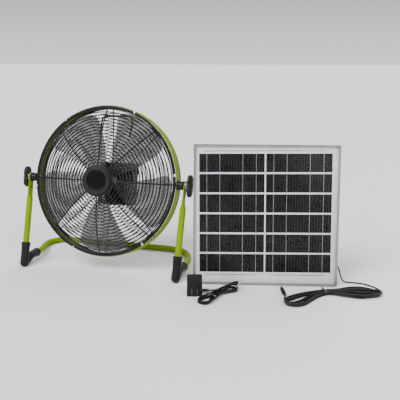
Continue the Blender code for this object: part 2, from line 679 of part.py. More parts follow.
def plug(name, rear, front, stand):
    """A moulded DC plug: grip, shoulder and bare barrel, from rear to front."""
    rear, front = Vector(rear) * MM, Vector(front) * MM
    long = (front - rear).length
    turn = Vector((0, 0, 1)).rotation_difference(front - rear).to_euler()
    profile = [(0, long), (2.75 * MM, long), (2.75 * MM, long - 9.5 * MM), (4.7 * MM, long - 9.5 * MM),
               (4.7 * MM, 10 * MM), (2.6 * MM, 0), (0, 0)]
    turned(name, [profile], turn, stand, BLACK, 16, closed=False, start=rear)


ADAPTER_CORD = (
    (299.6, -115.4, 7), (306.4, -113.5, 7), (312, -112, 6.8), (318, -111, 5.6), (323.4, -111, 4.3),
)
ADAPTER_TAIL = ((331, -112, 14.3), (337, -104, 14.6), (344, -96, 15.6), (350.6, -89.2, 16.9))
ADAPTER_PLUG = ((350.8, -89.0, 17.0), (375, -68, 17.2))
PANEL_LEAD = (
    (561.2, 22.6, 58.8), (568, 24.1, 58.8), (578, 26.1, 58.2), (588, 27.9, 54.6), (596, 29.3, 46.0),
    (601, 29.5, 34.0), (603, 28.5, 22.0), (606, 26.5, 10.0), (611, 27.0, 3.6), (620, 31.5, 2.2),
    (634, 37.5, 2.0), (650, 38.5, 2.0), (667, 33.5, 2.0), (682, 23.5, 2.0), (694, 10.5, 2.0),
    (700, 0, 2.0), (702, -10.5, 2.0),
)
LEAD_TAIL = ((484.6, -115.8, 5), (483.2, -110, 5), (483.6, -102, 5), (484.3, -97, 5), (483.1, -92.35, 5))
LEAD_PLUG = ((483, -92, 5), (467.5, -43, 5))


def lead_parts(stand):
    def lead(name, route, count):
        tube(name, [smooth(mm(*route), count)], LEAD_R, stand, RUBBER, resolution=2)

    lead("adapter_cord", ADAPTER_CORD, 6)
    hank("adapter_hank", ADAPTER_SPINE, stand)
    lead("adapter_tail", ADAPTER_TAIL, 8)
    plug("adapter_plug", *ADAPTER_PLUG, stand)
    lead("panel_lead", PANEL_LEAD, 46)
    hank("lead_hank", LEAD_SPINE, stand)
    lead("lead_tail", LEAD_TAIL, 8)
    plug("lead_plug", *LEAD_PLUG, stand)


def main():
    stand = frame("stand_frame", STAND_AT)
    head = frame("head_frame", (0, 0, PIVOT_Z), (-HEAD_TILT, 0, 0), stand)
    panel = frame("panel_frame_origin", PANEL_AT, (-PANEL_LEAN, 0, PANEL_TURN))
    prop = frame("prop_frame", PROP_HINGE, (PROP_SLANT + PANEL_LEAN, 0, 0), panel)
    adapter = frame("adapter_frame", ADAPTER_AT, (0, 0, ADAPTER_TURN))
    stand_parts(stand)
    for word, side in (("left", -1), ("right", 1)):
        pivot_parts(word, side, head)
    drum(head)
    front_guard(head)
    rear_guard(head)
    handle(head)
    drive(head)
    control_box(head)
    panel_parts(panel)
    prop_parts(panel, prop)
    adapter_parts(adapter)
    lead_parts(stand)


main()
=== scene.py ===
"""The looks of a portable solar fan kit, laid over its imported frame: a drum fan in a tube stand, a framed
solar panel, a plug-in adapter and two bundled leads. Lengths are in millimetres until a piece is built."""

import sys

import json
import math

import bmesh
import bpy
import numpy as np
from mathutils import Matrix, Vector
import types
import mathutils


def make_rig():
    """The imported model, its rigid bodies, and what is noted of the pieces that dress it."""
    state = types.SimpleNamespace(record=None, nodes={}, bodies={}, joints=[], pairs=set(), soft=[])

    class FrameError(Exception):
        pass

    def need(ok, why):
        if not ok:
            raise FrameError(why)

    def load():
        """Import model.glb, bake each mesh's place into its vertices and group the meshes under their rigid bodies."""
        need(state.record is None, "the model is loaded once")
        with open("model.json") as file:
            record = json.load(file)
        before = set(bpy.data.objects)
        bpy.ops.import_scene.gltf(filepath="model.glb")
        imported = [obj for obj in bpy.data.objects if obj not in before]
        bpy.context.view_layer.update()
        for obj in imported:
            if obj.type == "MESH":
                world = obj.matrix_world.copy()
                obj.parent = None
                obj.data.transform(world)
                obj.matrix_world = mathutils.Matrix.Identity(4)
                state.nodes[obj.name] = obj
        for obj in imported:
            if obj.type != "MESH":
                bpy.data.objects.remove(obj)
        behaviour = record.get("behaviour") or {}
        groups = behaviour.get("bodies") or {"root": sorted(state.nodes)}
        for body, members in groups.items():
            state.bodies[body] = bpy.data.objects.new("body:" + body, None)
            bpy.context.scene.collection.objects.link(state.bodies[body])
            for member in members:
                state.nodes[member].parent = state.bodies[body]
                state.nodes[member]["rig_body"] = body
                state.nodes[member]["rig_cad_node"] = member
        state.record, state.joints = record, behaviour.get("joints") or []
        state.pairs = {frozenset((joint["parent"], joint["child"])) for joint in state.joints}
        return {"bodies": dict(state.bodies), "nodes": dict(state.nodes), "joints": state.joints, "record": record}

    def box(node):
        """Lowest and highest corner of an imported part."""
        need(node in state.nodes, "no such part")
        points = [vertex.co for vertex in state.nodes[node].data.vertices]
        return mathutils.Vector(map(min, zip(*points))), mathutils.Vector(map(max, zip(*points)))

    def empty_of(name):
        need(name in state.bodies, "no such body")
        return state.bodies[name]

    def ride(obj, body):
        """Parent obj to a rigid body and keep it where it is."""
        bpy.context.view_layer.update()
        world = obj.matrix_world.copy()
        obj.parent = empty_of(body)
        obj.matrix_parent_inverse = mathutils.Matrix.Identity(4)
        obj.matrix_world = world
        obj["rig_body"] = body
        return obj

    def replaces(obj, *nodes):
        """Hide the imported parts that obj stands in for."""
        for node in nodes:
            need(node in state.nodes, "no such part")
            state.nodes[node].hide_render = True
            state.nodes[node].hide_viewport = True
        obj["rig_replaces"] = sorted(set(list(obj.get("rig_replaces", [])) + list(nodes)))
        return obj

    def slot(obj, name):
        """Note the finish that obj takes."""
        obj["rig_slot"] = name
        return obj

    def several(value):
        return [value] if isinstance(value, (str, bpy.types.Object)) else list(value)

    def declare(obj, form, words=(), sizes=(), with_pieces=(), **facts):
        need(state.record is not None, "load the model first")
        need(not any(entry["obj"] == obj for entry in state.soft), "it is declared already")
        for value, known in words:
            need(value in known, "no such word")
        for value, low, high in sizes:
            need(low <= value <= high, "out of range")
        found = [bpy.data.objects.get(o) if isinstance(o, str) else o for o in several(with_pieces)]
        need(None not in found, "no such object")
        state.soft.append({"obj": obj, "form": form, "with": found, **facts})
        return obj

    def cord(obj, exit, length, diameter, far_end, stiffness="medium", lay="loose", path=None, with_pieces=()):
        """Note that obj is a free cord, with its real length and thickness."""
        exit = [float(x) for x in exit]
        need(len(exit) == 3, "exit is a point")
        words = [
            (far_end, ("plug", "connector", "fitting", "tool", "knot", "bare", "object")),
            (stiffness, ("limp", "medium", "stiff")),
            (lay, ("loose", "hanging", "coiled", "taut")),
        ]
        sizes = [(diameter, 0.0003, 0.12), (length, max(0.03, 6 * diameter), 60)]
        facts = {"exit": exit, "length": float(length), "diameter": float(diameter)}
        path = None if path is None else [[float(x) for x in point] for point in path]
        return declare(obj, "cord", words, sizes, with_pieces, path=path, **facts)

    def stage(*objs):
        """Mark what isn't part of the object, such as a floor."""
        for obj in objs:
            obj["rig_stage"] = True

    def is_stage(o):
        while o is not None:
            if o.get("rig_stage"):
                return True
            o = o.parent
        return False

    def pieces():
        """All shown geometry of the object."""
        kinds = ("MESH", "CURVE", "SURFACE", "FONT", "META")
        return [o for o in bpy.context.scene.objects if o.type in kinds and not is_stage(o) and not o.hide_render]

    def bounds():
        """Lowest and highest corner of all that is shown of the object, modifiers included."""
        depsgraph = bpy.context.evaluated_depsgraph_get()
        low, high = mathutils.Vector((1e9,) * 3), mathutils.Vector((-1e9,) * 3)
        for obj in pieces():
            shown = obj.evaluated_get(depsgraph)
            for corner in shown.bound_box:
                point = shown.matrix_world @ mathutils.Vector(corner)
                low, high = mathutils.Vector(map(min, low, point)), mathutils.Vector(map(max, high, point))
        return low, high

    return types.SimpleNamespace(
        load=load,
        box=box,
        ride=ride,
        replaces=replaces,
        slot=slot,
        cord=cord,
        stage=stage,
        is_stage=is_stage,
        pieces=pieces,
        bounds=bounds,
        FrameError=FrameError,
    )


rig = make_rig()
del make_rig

bl_info = {
    "name": "Solar Fan Kit",
    "version": (1, 0, 0),
    "blender": (4, 5, 0),
    "location": "3D View > Sidebar > Solar Fan",
    "description": "Builds the fan, its stand, the solar panel, the adapter and their leads",
    "category": "Add Mesh",
}

MM = 0.001
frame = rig.load()
RECORD = frame["record"]
CAD_BOX = [list(corner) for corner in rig.bounds()]
JOINTS = {joint["name"]: joint for joint in frame["joints"]}
MOUNTS = {mount["name"]: mount for mount in RECORD["mounts"]}



def frame_of(origin, x_way, y_way):
    """A 4x4 matrix whose first two axes are the given directions, and whose origin is in metres."""
    x, y = np.array(x_way, float), np.array(y_way, float)
    made = np.eye(4)
    made[:3, 0], made[:3, 1], made[:3, 2], made[:3, 3] = x, y, np.cross(x, y), origin
    return made


PIVOT = np.array(JOINTS["head_tilt"]["pos_m"])
STAND = frame_of((PIVOT[0], PIVOT[1], 0), (1, 0, 0), (0, 1, 0))
HEAD = frame_of(PIVOT, (1, 0, 0), JOINTS["rotor_spin"]["axis"])
PANEL_Y = np.array(MOUNTS["panel_rear_flange"]["axis"])
PANEL_Z = np.array(MOUNTS["panel_rail_top"]["axis"])
PANEL_TALL, PANEL_DEEP, PANEL_WIDE = 340.0, 17.0, 350.0
PANEL_TOP = np.array(MOUNTS["panel_rail_top"]["pos_m"])
PANEL_FOOT = PANEL_TOP - (PANEL_Z * PANEL_TALL + PANEL_Y * PANEL_DEEP / 2) * MM
PANEL = frame_of(PANEL_FOOT, np.cross(PANEL_Y, PANEL_Z), PANEL_Y)
PROP_JOINT = JOINTS["prop_fold"]
PIN_X = -np.array(JOINTS["pin_fold"]["axis"])
PIN_AT = np.array(JOINTS["pin_fold"]["pos_m"])
PIN_Y = np.cross((0, 0, 1), PIN_X)
ADAPTER = frame_of((*(PIN_AT - PIN_Y * 4 * MM)[:2], 0), PIN_X, PIN_Y)


# Shader maths


class Socket:
    """An output of a node. Sums, products and comparisons on it add Math nodes."""

    def __init__(self, paint, source):
        self.paint = paint
        self.source = source

    def _with(self, operation, other, swapped=False):
        pair = (other, self) if swapped else (self, other)
        return self.paint.node("ShaderNodeMath", {"operation": operation}, {0: pair[0], 1: pair[1]})

    def __add__(self, other):
        return self._with("ADD", other)

    def __radd__(self, other):
        return self._with("ADD", other, True)

    def __sub__(self, other):
        return self._with("SUBTRACT", other)

    def __rsub__(self, other):
        return self._with("SUBTRACT", other, True)

    def __mul__(self, other):
        return self._with("MULTIPLY", other)

    def __rmul__(self, other):
        return self._with("MULTIPLY", other, True)

    def __truediv__(self, other):
        return self._with("DIVIDE", other)

    def __lt__(self, other):
        return self._with("LESS_THAN", other)

    def __gt__(self, other):
        return self._with("GREATER_THAN", other)

    def least(self, other):
        return self._with("MINIMUM", other)

    def part(self):
        return self.paint.node("ShaderNodeMath", {"operation": "FRACT"}, {0: self})

    def size(self):
        return self.paint.node("ShaderNodeMath", {"operation": "ABSOLUTE"}, {0: self})


class Paint:
    """One material, built from its shader outwards."""

    def __init__(self, name, colour, roughness, metallic=0.0, **constants):
        self.material = bpy.data.materials.new(name)
        self.material.use_nodes = True
        self.tree = self.material.node_tree
        self.shader = self.tree.nodes["Principled BSDF"]
        self.colour = colour
        self.set("Base Color", (*colour, 1))
        self.set("Roughness", roughness)
        self.set("Metallic", metallic)
        for socket, value in constants.items():
            self.set(socket.replace("_", " ").title().replace("Ior", "IOR"), value)

    def set(self, socket, value):
        self._give(self.shader.inputs[socket], value)

    def _give(self, target, value):
        if isinstance(value, Socket):
            self.tree.links.new(value.source, target)
        else:
            target.default_value = value

    def node(self, kind, settings, inputs, output=0):
        """A node of that kind: its settings first, then its sockets' values or links."""
        made = self.tree.nodes.new(kind)
        for setting, value in settings.items():
            setattr(made, setting, value)
        for socket, value in inputs.items():
            self._give(made.inputs[socket], value)
        return Socket(self, made.outputs[output])

    def place(self):
        return self.node("ShaderNodeTexCoord", {}, {}, "Object")

    def noise(self, size_mm, detail=2.0, stretch=(1, 1, 1), roughness=0.5):
        """Smooth noise from 0 to 1 whose grains are about that size."""
        at = self.node("ShaderNodeMapping", {}, {"Vector": self.place(), "Scale": stretch})
        inputs = {"Vector": at, "Scale": 1000 / size_mm, "Detail": detail, "Roughness": roughness}
        return self.node("ShaderNodeTexNoise", {}, inputs, "Fac")

    def ramp(self, value, low, high, start=0.0, end=1.0):
        """value from low to high becomes start to end, clamped."""
        inputs = {"Value": value, "From Min": low, "From Max": high, "To Min": start, "To Max": end}
        return self.node("ShaderNodeMapRange", {"clamp": True}, inputs)

    def blend(self, share, first, second):
        """The mix of two colours."""
        inputs = {0: share, 6: self._colour(first), 7: self._colour(second)}
        return self.node("ShaderNodeMix", {"data_type": "RGBA"}, inputs, 2)

    @staticmethod
    def _colour(value):
        return value if isinstance(value, Socket) else (*value[:3], 1)

    def mottle(self, share, size_mm=60):
        """The base colour, lighter and darker by a share over patches of that size."""
        dark = [c * (1 - share) for c in self.colour]
        light = [min(c * (1 + share), 1) for c in self.colour]
        self.set("Base Color", self.blend(self.ramp(self.noise(size_mm), 0.3, 0.7), dark, light))

    def bump(self, height, depth_mm, strength=1.0):
        inputs = {"Height": height, "Distance": depth_mm * MM, "Strength": strength}
        self.set("Normal", self.node("ShaderNodeBump", {}, inputs))

    def smudge(self, low, high, size_mm=45):
        """Roughness that drifts between two values, as handled surfaces do."""
        self.set("Roughness", self.ramp(self.noise(size_mm, 3), 0.3, 0.7, low, high))


LOOKS = {}


def look(name):
    """The material of that name, made by its own function the first time."""
    if name not in LOOKS:
        LOOKS[name] = globals()["paint_" + name]().material
    return LOOKS[name]


def colour_of(name):
    """A colour from the sidebar."""
    return tuple(getattr(bpy.context.scene.fan_kit_colours, name))


def size_of(name):
    """A size from the sidebar, in millimetres."""
    return round(getattr(bpy.context.scene.fan_kit_sizes, name) / MM, 4)


def paint_lime():
    paint = Paint("lime_enamel", colour_of("lime"), 0.4)
    paint.set("Specular IOR Level", 0.08)
    paint.mottle(0.05, 90)
    paint.smudge(0.4, 0.52)
    peel = paint.noise(2.2, 1) + 0.25 * paint.noise(0.5, 1)
    paint.bump(peel, 0.02, 0.35)
    return paint


def moulded(name, colour, roughness, grain_mm, depth_mm):
    """Black moulded plastic with a fine spark-eroded texture."""
    paint = Paint(name, colour, roughness)
    paint.set("Specular IOR Level", 0.22)
    paint.mottle(0.18, 35)
    paint.smudge(roughness - 0.06, roughness + 0.08)
    paint.bump(paint.noise(grain_mm, 2) + 0.5 * paint.noise(grain_mm * 3, 1), depth_mm, 0.5)
    return paint


def paint_plastic():
    return moulded("black_moulding", (0.0065, 0.0065, 0.0075), 0.4, 0.5, 0.03)


def paint_dark_plate():
    return moulded("dark_grey_moulding", (0.012, 0.013, 0.0145), 0.4, 0.6, 0.02)


def paint_soft_grip():
    return moulded("black_soft_moulding", (0.0085, 0.0085, 0.009), 0.52, 0.35, 0.03)


def paint_gloss():
    paint = Paint("gloss_black", (0.003, 0.003, 0.0035), 0.12)
    paint.set("Specular IOR Level", 0.3)
    paint.smudge(0.07, 0.16, 18)
    paint.bump(paint.noise(9, 1), 0.02, 0.15)
    return paint


def paint_wire():
    paint = Paint("black_enamelled_wire", (0.006, 0.006, 0.007), 0.34)
    paint.set("Specular IOR Level", 0.25)
    paint.mottle(0.25, 14)
    paint.smudge(0.26, 0.42, 20)
    paint.bump(paint.noise(1.6, 2), 0.03, 0.4)
    return paint


def paint_smoke():
    smoke = colour_of("smoke")
    paint = Paint("smoke_tinted_plastic", smoke, 0.14, ior=1.5)
    paint.mottle(0.12, 50)
    paint.smudge(0.1, 0.2, 30)
    paint.set("Alpha", paint.ramp(paint.noise(70, 2), 0.3, 0.7, 0.58, 0.64))
    paint.bump(paint.noise(12, 1), 0.03, 0.2)
    return paint


def paint_smoke_hub():
    paint = Paint("smoke_tinted_hub", (0.012, 0.016, 0.02), 0.16, ior=1.5)
    paint.mottle(0.2, 20)
    paint.set("Alpha", paint.ramp(paint.noise(30, 2), 0.3, 0.7, 0.72, 0.82))
    paint.bump(paint.noise(8, 1), 0.03, 0.2)
    return paint


def paint_steel():
    paint = Paint("zinc_plated_steel", (0.60, 0.61, 0.63), 0.28, 1.0)
    paint.mottle(0.14, 5)
    paint.smudge(0.2, 0.38, 6)
    paint.bump(paint.noise(0.7, 2), 0.01, 0.3)
    return paint


def paint_dull_nickel():
    paint = Paint("dull_nickel_plate", (0.16, 0.16, 0.165), 0.4, 1.0)
    paint.mottle(0.15, 4)
    paint.bump(paint.noise(0.8, 2), 0.01, 0.3)
    return paint


def paint_aluminium():
    """Satin anodised extrusion, drawn along its length."""
    paint = Paint("anodised_aluminium", (0.60, 0.61, 0.64), 0.36, 1.0)
    along = paint.noise(1.2, 3, (0.02, 1, 1))
    upright = paint.noise(1.2, 3, (1, 1, 0.02))
    drawn = 0.5 * (along + upright)
    paint.set("Base Color", paint.blend(paint.ramp(drawn, 0.35, 0.65), (0.26, 0.27, 0.30),
                                        (0.40, 0.41, 0.43)))
    paint.set("Roughness", paint.ramp(drawn, 0.35, 0.65, 0.3, 0.46))
    paint.bump(drawn, 0.01, 0.25)
    return paint


def paint_glass():
    paint = Paint("clear_panel_glass", (0.02, 0.024, 0.026), 0.06, ior=1.5)
    paint.set("Alpha", paint.ramp(paint.noise(120, 2), 0.3, 0.7, 0.03, 0.05))
    paint.set("Roughness", paint.ramp(paint.noise(40, 2), 0.3, 0.7, 0.12, 0.2))
    paint.bump(paint.noise(60, 1), 0.01, 0.1)
    return paint


def paint_white_laminate():
    paint = Paint("white_laminate", (0.72, 0.72, 0.75), 0.42)
    paint.mottle(0.04, 30)
    paint.bump(paint.noise(1.4, 2), 0.02, 0.3)
    return paint


def paint_cells():
    """Black cell strips on a white laminate, each with four bright ribbons and fine silver fingers between
    them. u and v are the place on the sheet in metres."""
    paint = Paint("solar_cells", (0.008, 0.008, 0.011), 0.3)
    paint.set("Specular IOR Level", 0.16)
    spot = paint.node("ShaderNodeUVMap", {"uv_map": "place"}, {})
    cells = CELL_FIELD
    along = paint.node("ShaderNodeSeparateXYZ", {}, {0: spot}, 0) / MM
    height = paint.node("ShaderNodeSeparateXYZ", {}, {0: spot}, 1) / MM
    x = along + (height - PANEL_TALL / 2) * cells["askew"]
    z = height - along * cells["askew"]
    column_gap = cells["gap"] - 0.9
    column_wide = (cells["right"] - cells["left"] + column_gap) / 2
    row_tall = (cells["top"] - cells["bottom"] + cells["gap"]) / 6
    across = ((x - cells["left"]) / column_wide).part() * column_wide
    up = ((z - cells["bottom"]) / row_tall).part() * row_tall
    inside = (x > cells["left"]) * (x < cells["right"]) * (z > cells["bottom"]) * (z < cells["top"])
    strip = inside * (across < column_wide - column_gap) * (up < row_tall - cells["gap"])
    share = across / (column_wide - column_gap)
    ribbon = 0
    for middle in (0.117, 0.316, 0.667, 0.872):
        ribbon = ribbon + ((share - middle).size() < 0.0036)
    in_column = inside * (across < column_wide - column_gap)
    finger = ((across / cells["finger"]).part() - 0.5).size()
    finger = paint.ramp(finger, 0.08, 0.3, 1, 0) * (0.2 + 0.8 * paint.noise(14, 2, (1, 1, 0.04)))
    bus = 0
    for level, low, high in cells["buses"]:
        bus = bus + ((z - level).size() < 1.1) * (x > low) * (x < high)
    tone = paint.noise(26, 2)
    silicon = paint.blend(paint.ramp(tone, 0.3, 0.7), (0.0018, 0.0018, 0.0026), (0.0045, 0.0045, 0.006))
    silicon = paint.blend(finger * 0.25, silicon, (0.09, 0.09, 0.095))
    laminate = paint.blend(paint.ramp(paint.noise(20), 0.3, 0.7), (0.70, 0.70, 0.74), (0.78, 0.78, 0.81))
    base = paint.blend(strip, laminate, silicon)
    silver = paint.blend(paint.ramp(paint.noise(2.5), 0.3, 0.7), (0.26, 0.26, 0.28), (0.46, 0.46, 0.47))
    base = paint.blend(ribbon.least(1) * strip, base, paint.blend(0.45, silver, (0.2, 0.2, 0.2)))
    base = paint.blend(ribbon.least(1) * (in_column - strip), base, (0.52, 0.52, 0.55))
    base = paint.blend(bus.least(1), base, (0.32, 0.32, 0.34))
    paint.set("Base Color", base)
    paint.set("Metallic", (ribbon.least(1) * strip + bus.least(1)).least(1) * 0.35)
    paint.set("Roughness", paint.ramp(tone, 0.3, 0.7, 0.24, 0.36))
    paint.bump(strip * 0.4 + ribbon.least(1) * 0.6, 0.05, 0.15)
    return paint


def paint_board():
    """Green solder mask over a faint copper pattern."""
    paint = Paint("circuit_board", (0.02, 0.13, 0.05), 0.4)
    tracks = paint.node("ShaderNodeTexBrick", {"offset": 0.5}, {"Vector": paint.place(), "Scale": 220.0},
                        "Fac")
    paint.set("Base Color", paint.blend(tracks * 0.6, (0.018, 0.12, 0.045), (0.05, 0.24, 0.09)))
    paint.bump(tracks, 0.05, 0.4)
    return paint


def paint_battery():
    paint = Paint("battery_wrap", (0.04, 0.1, 0.3), 0.3, coat_weight=0.4)
    paint.mottle(0.15, 12)
    paint.bump(paint.noise(5, 2), 0.1, 0.4)
    return paint


def paint_lens():
    paint = Paint("clear_lens", (0.55, 0.66, 0.55), 0.08, ior=1.49)
    paint.set("Alpha", paint.ramp(paint.noise(6), 0.3, 0.7, 0.45, 0.6))
    paint.bump(paint.noise(2, 1), 0.02, 0.2)
    return paint


def paint_cable():
    """A satin cable jacket, faintly ridged along its length by its cores."""
    paint = Paint("black_cable_jacket", (0.006, 0.006, 0.0065), 0.4)
    paint.set("Specular IOR Level", 0.3)
    spot = paint.node("ShaderNodeUVMap", {"uv_map": "place"}, {})
    run = paint.node("ShaderNodeSeparateXYZ", {}, {0: spot}, 0)
    lay = paint.node("ShaderNodeMath", {"operation": "SINE"}, {0: run * (2 * math.pi / 0.024)})
    paint.mottle(0.25, 25)
    paint.smudge(0.32, 0.5, 25)
    paint.bump(0.6 * paint.noise(0.6, 2) + 0.2 * lay, 0.05, 0.35)
    return paint


def paint_tie():
    paint = Paint("dark_twist_tie", (0.05, 0.05, 0.052), 0.25, coat_weight=0.3)
    paint.mottle(0.2, 4)
    paint.bump(paint.noise(1.2, 1), 0.05, 0.3)
    return paint


def paint_mark():
    paint = Paint("printed_mark", (0.55, 0.55, 0.56), 0.5)
    paint.mottle(0.05, 3)
    paint.bump(paint.noise(0.6, 1), 0.01, 0.2)
    return paint


def paint_floor():
    paint = Paint("pale_floor", (0.86, 0.86, 0.86), 0.6)
    paint.mottle(0.01, 400)
    return paint


# Surfaces


class Shape:
    """Points and faces that add up to one piece, with an optional place (u, v) at each point."""

    def __init__(self):
        self.points = []
        self.places = []
        self.faces = []
        self.count = 0

    def add(self, points, faces, places=None):
        points = np.asarray(points, float).reshape(-1, 3)
        self.points.append(points)
        given = np.zeros((len(points), 2)) if places is None else np.asarray(places)
        self.places.append(given.reshape(-1, 2))
        self.faces.extend([tuple(int(k) + self.count for k in face) for face in faces])
        self.count += len(points)
        return self

    def grid(self, points, wrap_rows=False, wrap_columns=True, caps=False, places=None):
        """A grid of points, rows by columns, as quads, with a flat cap on its first and last row if asked."""
        rows, columns = points.shape[:2]
        i = np.arange(rows if wrap_rows else rows - 1)[:, None]
        j = np.arange(columns if wrap_columns else columns - 1)[None, :]
        below, beside = (i + 1) % rows, (j + 1) % columns
        quads = np.stack([i * columns + j + 0 * beside, i * columns + beside,
                          below * columns + beside, below * columns + j], -1).reshape(-1, 4)
        faces = quads.tolist()
        if caps:
            faces += [list(range(columns))[::-1], list(range((rows - 1) * columns, rows * columns))]
        return self.add(points, faces, places)


def fillet(points, radius, closed=False, steps=4):
    """The polyline with each corner replaced by a quadratic arc that starts and ends radius from it."""
    points = np.asarray(points, float)
    count = len(points)
    made = []
    for k in range(count):
        here = points[k]
        if not closed and k in (0, count - 1):
            made.append(here)
            continue
        back, ahead = points[k - 1] - here, points[(k + 1) % count] - here
        back_long, ahead_long = np.linalg.norm(back), np.linalg.norm(ahead)
        start = here + back * min(radius / back_long, 0.45)
        end = here + ahead * min(radius / ahead_long, 0.45)
        for t in np.linspace(0, 1, steps):
            made.append((1 - t) ** 2 * start + 2 * t * (1 - t) * here + t**2 * end)
    return np.array(made)


def lathe(shape, profile, steps=64, closed=True, start=(0, 0, 0)):
    """A profile of (radius, y) points carried round the Y axis: (r cos a, y, r sin a)."""
    profile = np.asarray(profile, float)
    turn = np.linspace(0, 2 * math.pi, steps, endpoint=False)
    r, y = profile[:, 0:1], profile[:, 1:2]
    points = np.stack([r * np.cos(turn), y + 0 * turn, r * np.sin(turn)], -1) + np.array(start)
    return shape.grid(points, wrap_rows=closed)


def spline(points, step):
    """A Catmull-Rom curve through the points, resampled evenly about step apart."""
    given = np.asarray(points, float)
    ends = np.vstack([2 * given[0] - given[1], given, 2 * given[-1] - given[-2]])
    t = np.linspace(0, 1, 16, endpoint=False)[:, None]
    a, b, c, d = (ends[k:len(ends) - 3 + k, None, :] for k in range(4))
    fine = 0.5 * (2 * b + (c - a) * t + (2 * a - 5 * b + 4 * c - d) * t**2 + (3 * b - a - 3 * c + d) * t**3)
    fine = np.vstack([fine.reshape(-1, 3), given[-1:]])
    run = np.r_[0, np.cumsum(np.linalg.norm(np.diff(fine, axis=0), axis=1))]
    at = np.linspace(0, run[-1], max(int(run[-1] / step), 4) + 1)
    return np.column_stack([np.interp(at, run, fine[:, k]) for k in range(3)])


def frames_along(path, closed=False):
    """Unit tangents and two side directions along a path, turned as little as possible between points."""
    way = np.roll(path, -1, 0) - np.roll(path, 1, 0) if closed else np.gradient(path, axis=0)
    way /= np.linalg.norm(way, axis=1)[:, None]
    up = np.array((0, 0, 1.0)) if abs(way[0, 2]) < 0.9 else np.array((1.0, 0, 0))
    sides = np.zeros_like(path)
    side = np.cross(way[0], up)
    for k in range(len(path)):
        side = side - way[k] * (side @ way[k])
        side /= np.linalg.norm(side)
        sides[k] = side
    return way, sides, np.cross(way, sides)


def sweep(shape, path, radius, sides=16, closed=False, flat=1.0):
    """A round bar: path(s) + radius(s) (cos a side(s) + flat sin a up(s)); radius may change along it."""
    path = np.asarray(path, float)
    _, side, up = frames_along(path, closed)
    turn = np.linspace(0, 2 * math.pi, sides, endpoint=False)
    radius = np.broadcast_to(np.asarray(radius, float), len(path))[:, None, None]
    ring = side[:, None, :] * np.cos(turn)[:, None] + up[:, None, :] * np.sin(turn)[:, None] * flat
    run = np.r_[0, np.cumsum(np.linalg.norm(np.diff(path, axis=0), axis=1))] * MM
    places = np.stack([run[:, None] + 0 * turn, 0 * run[:, None] + turn], -1)
    points = path[:, None, :] + radius * ring
    return shape.grid(points, wrap_rows=closed, caps=not closed, places=places)


def soft_box(shape, low, high, radius, steps=4):
    """A box with round edges: the inner box's corner on n's side, plus radius times n, over the unit
    sphere."""
    low, high = np.array(low, float), np.array(high, float)
    half = (high - low) / 2 - radius
    quarter = np.linspace(0, math.pi / 2, steps + 1)
    turn = np.concatenate([quarter + k * math.pi / 2 for k in range(4)])
    signs = np.repeat([(1, 1), (-1, 1), (-1, -1), (1, -1)], steps + 1, axis=0)
    tilt = np.concatenate([quarter - math.pi / 2, quarter])
    level = np.repeat((-1, 1), steps + 1)
    out = np.stack([np.cos(tilt)[:, None] * np.cos(turn), np.cos(tilt)[:, None] * np.sin(turn),
                    np.sin(tilt)[:, None] + 0 * turn], -1)
    corner = np.stack([half[0] * signs[:, 0] + 0 * level[:, None],
                       half[1] * signs[:, 1] + 0 * level[:, None],
                       half[2] * level[:, None] + 0 * turn], -1)
    return shape.grid((low + high) / 2 + corner + radius * out, caps=True)


def turned_points(points, about, angle):
    """Points turned by an angle about the local axis x, y or z."""
    turn = np.array(Matrix.Rotation(angle, 3, about.upper()))
    return np.asarray(points) @ turn.T


SLOTS = {
    "lime": "lime_paint", "plastic": "black_plastic", "dark_plate": "grey_plate", "soft_grip": "black_plastic",
    "gloss": "gloss_badge", "wire": "black_wire", "smoke": "smoke_plastic", "smoke_hub": "smoke_plastic",
    "steel": "bright_steel", "dull_nickel": "bright_steel", "aluminium": "aluminium_rail", "glass": "panel_glass",
    "white_laminate": "white_sheet", "cells": "solar_cell", "board": "circuit_board", "battery": "battery_wrap",
    "lens": "clear_lens", "cable": "black_cable", "tie": "black_cable", "mark": "white_sheet",
}


def build(shape, name, place, material, body, replaces=(), slot=None, smooth=35.0):
    """Its slot in the record is its material's own, unless another is given."""
    points = np.vstack(shape.points) * MM
    points = points @ place[:3, :3].T + place[:3, 3]
    mesh = bpy.data.meshes.new(name)
    mesh.from_pydata(points.tolist(), [], shape.faces)
    corners = np.zeros(len(mesh.loops), np.int64)
    mesh.loops.foreach_get("vertex_index", corners)
    places = np.vstack(shape.places)[corners].astype(np.float32)
    mesh.uv_layers.new(name="place").data.foreach_set("uv", places.ravel())
    bm = bmesh.new()
    bm.from_mesh(mesh)
    bmesh.ops.remove_doubles(bm, verts=bm.verts, dist=1e-6)
    bmesh.ops.recalc_face_normals(bm, faces=bm.faces)
    bm.to_mesh(mesh)
    bm.free()
    mesh.shade_smooth()
    mesh.set_sharp_from_angle(angle=math.radians(smooth))
    mesh.materials.append(look(material))
    item = bpy.data.objects.new(name, mesh)
    bpy.context.scene.collection.objects.link(item)
    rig.ride(item, body)
    if replaces:
        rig.replaces(item, *([replaces] if isinstance(replaces, str) else replaces))
    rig.slot(item, slot or SLOTS[material])
    return item


def turned(name, profile, soft, steps, place, material, body, replaces=(), closed=False, start=(0, 0, 0)):
    """A piece turned on the Y axis: the profile of (radius, y), its corners softened, carried round once."""
    shape = lathe(Shape(), fillet(profile, soft, closed), steps, closed, start)
    return build(shape, name, place, material, body, replaces)


def mirrored(points):
    """The same points on the other side of X = 0."""
    return np.asarray(points, float) * (-1, 1, 1)


# Stand


def leg_point(side, height):
    """The middle of a leg at a height, on the line from its foot to the pivot."""
    share = height / 229
    return np.array([side * (211 + 5 * share), -76 * (1 - share), height])


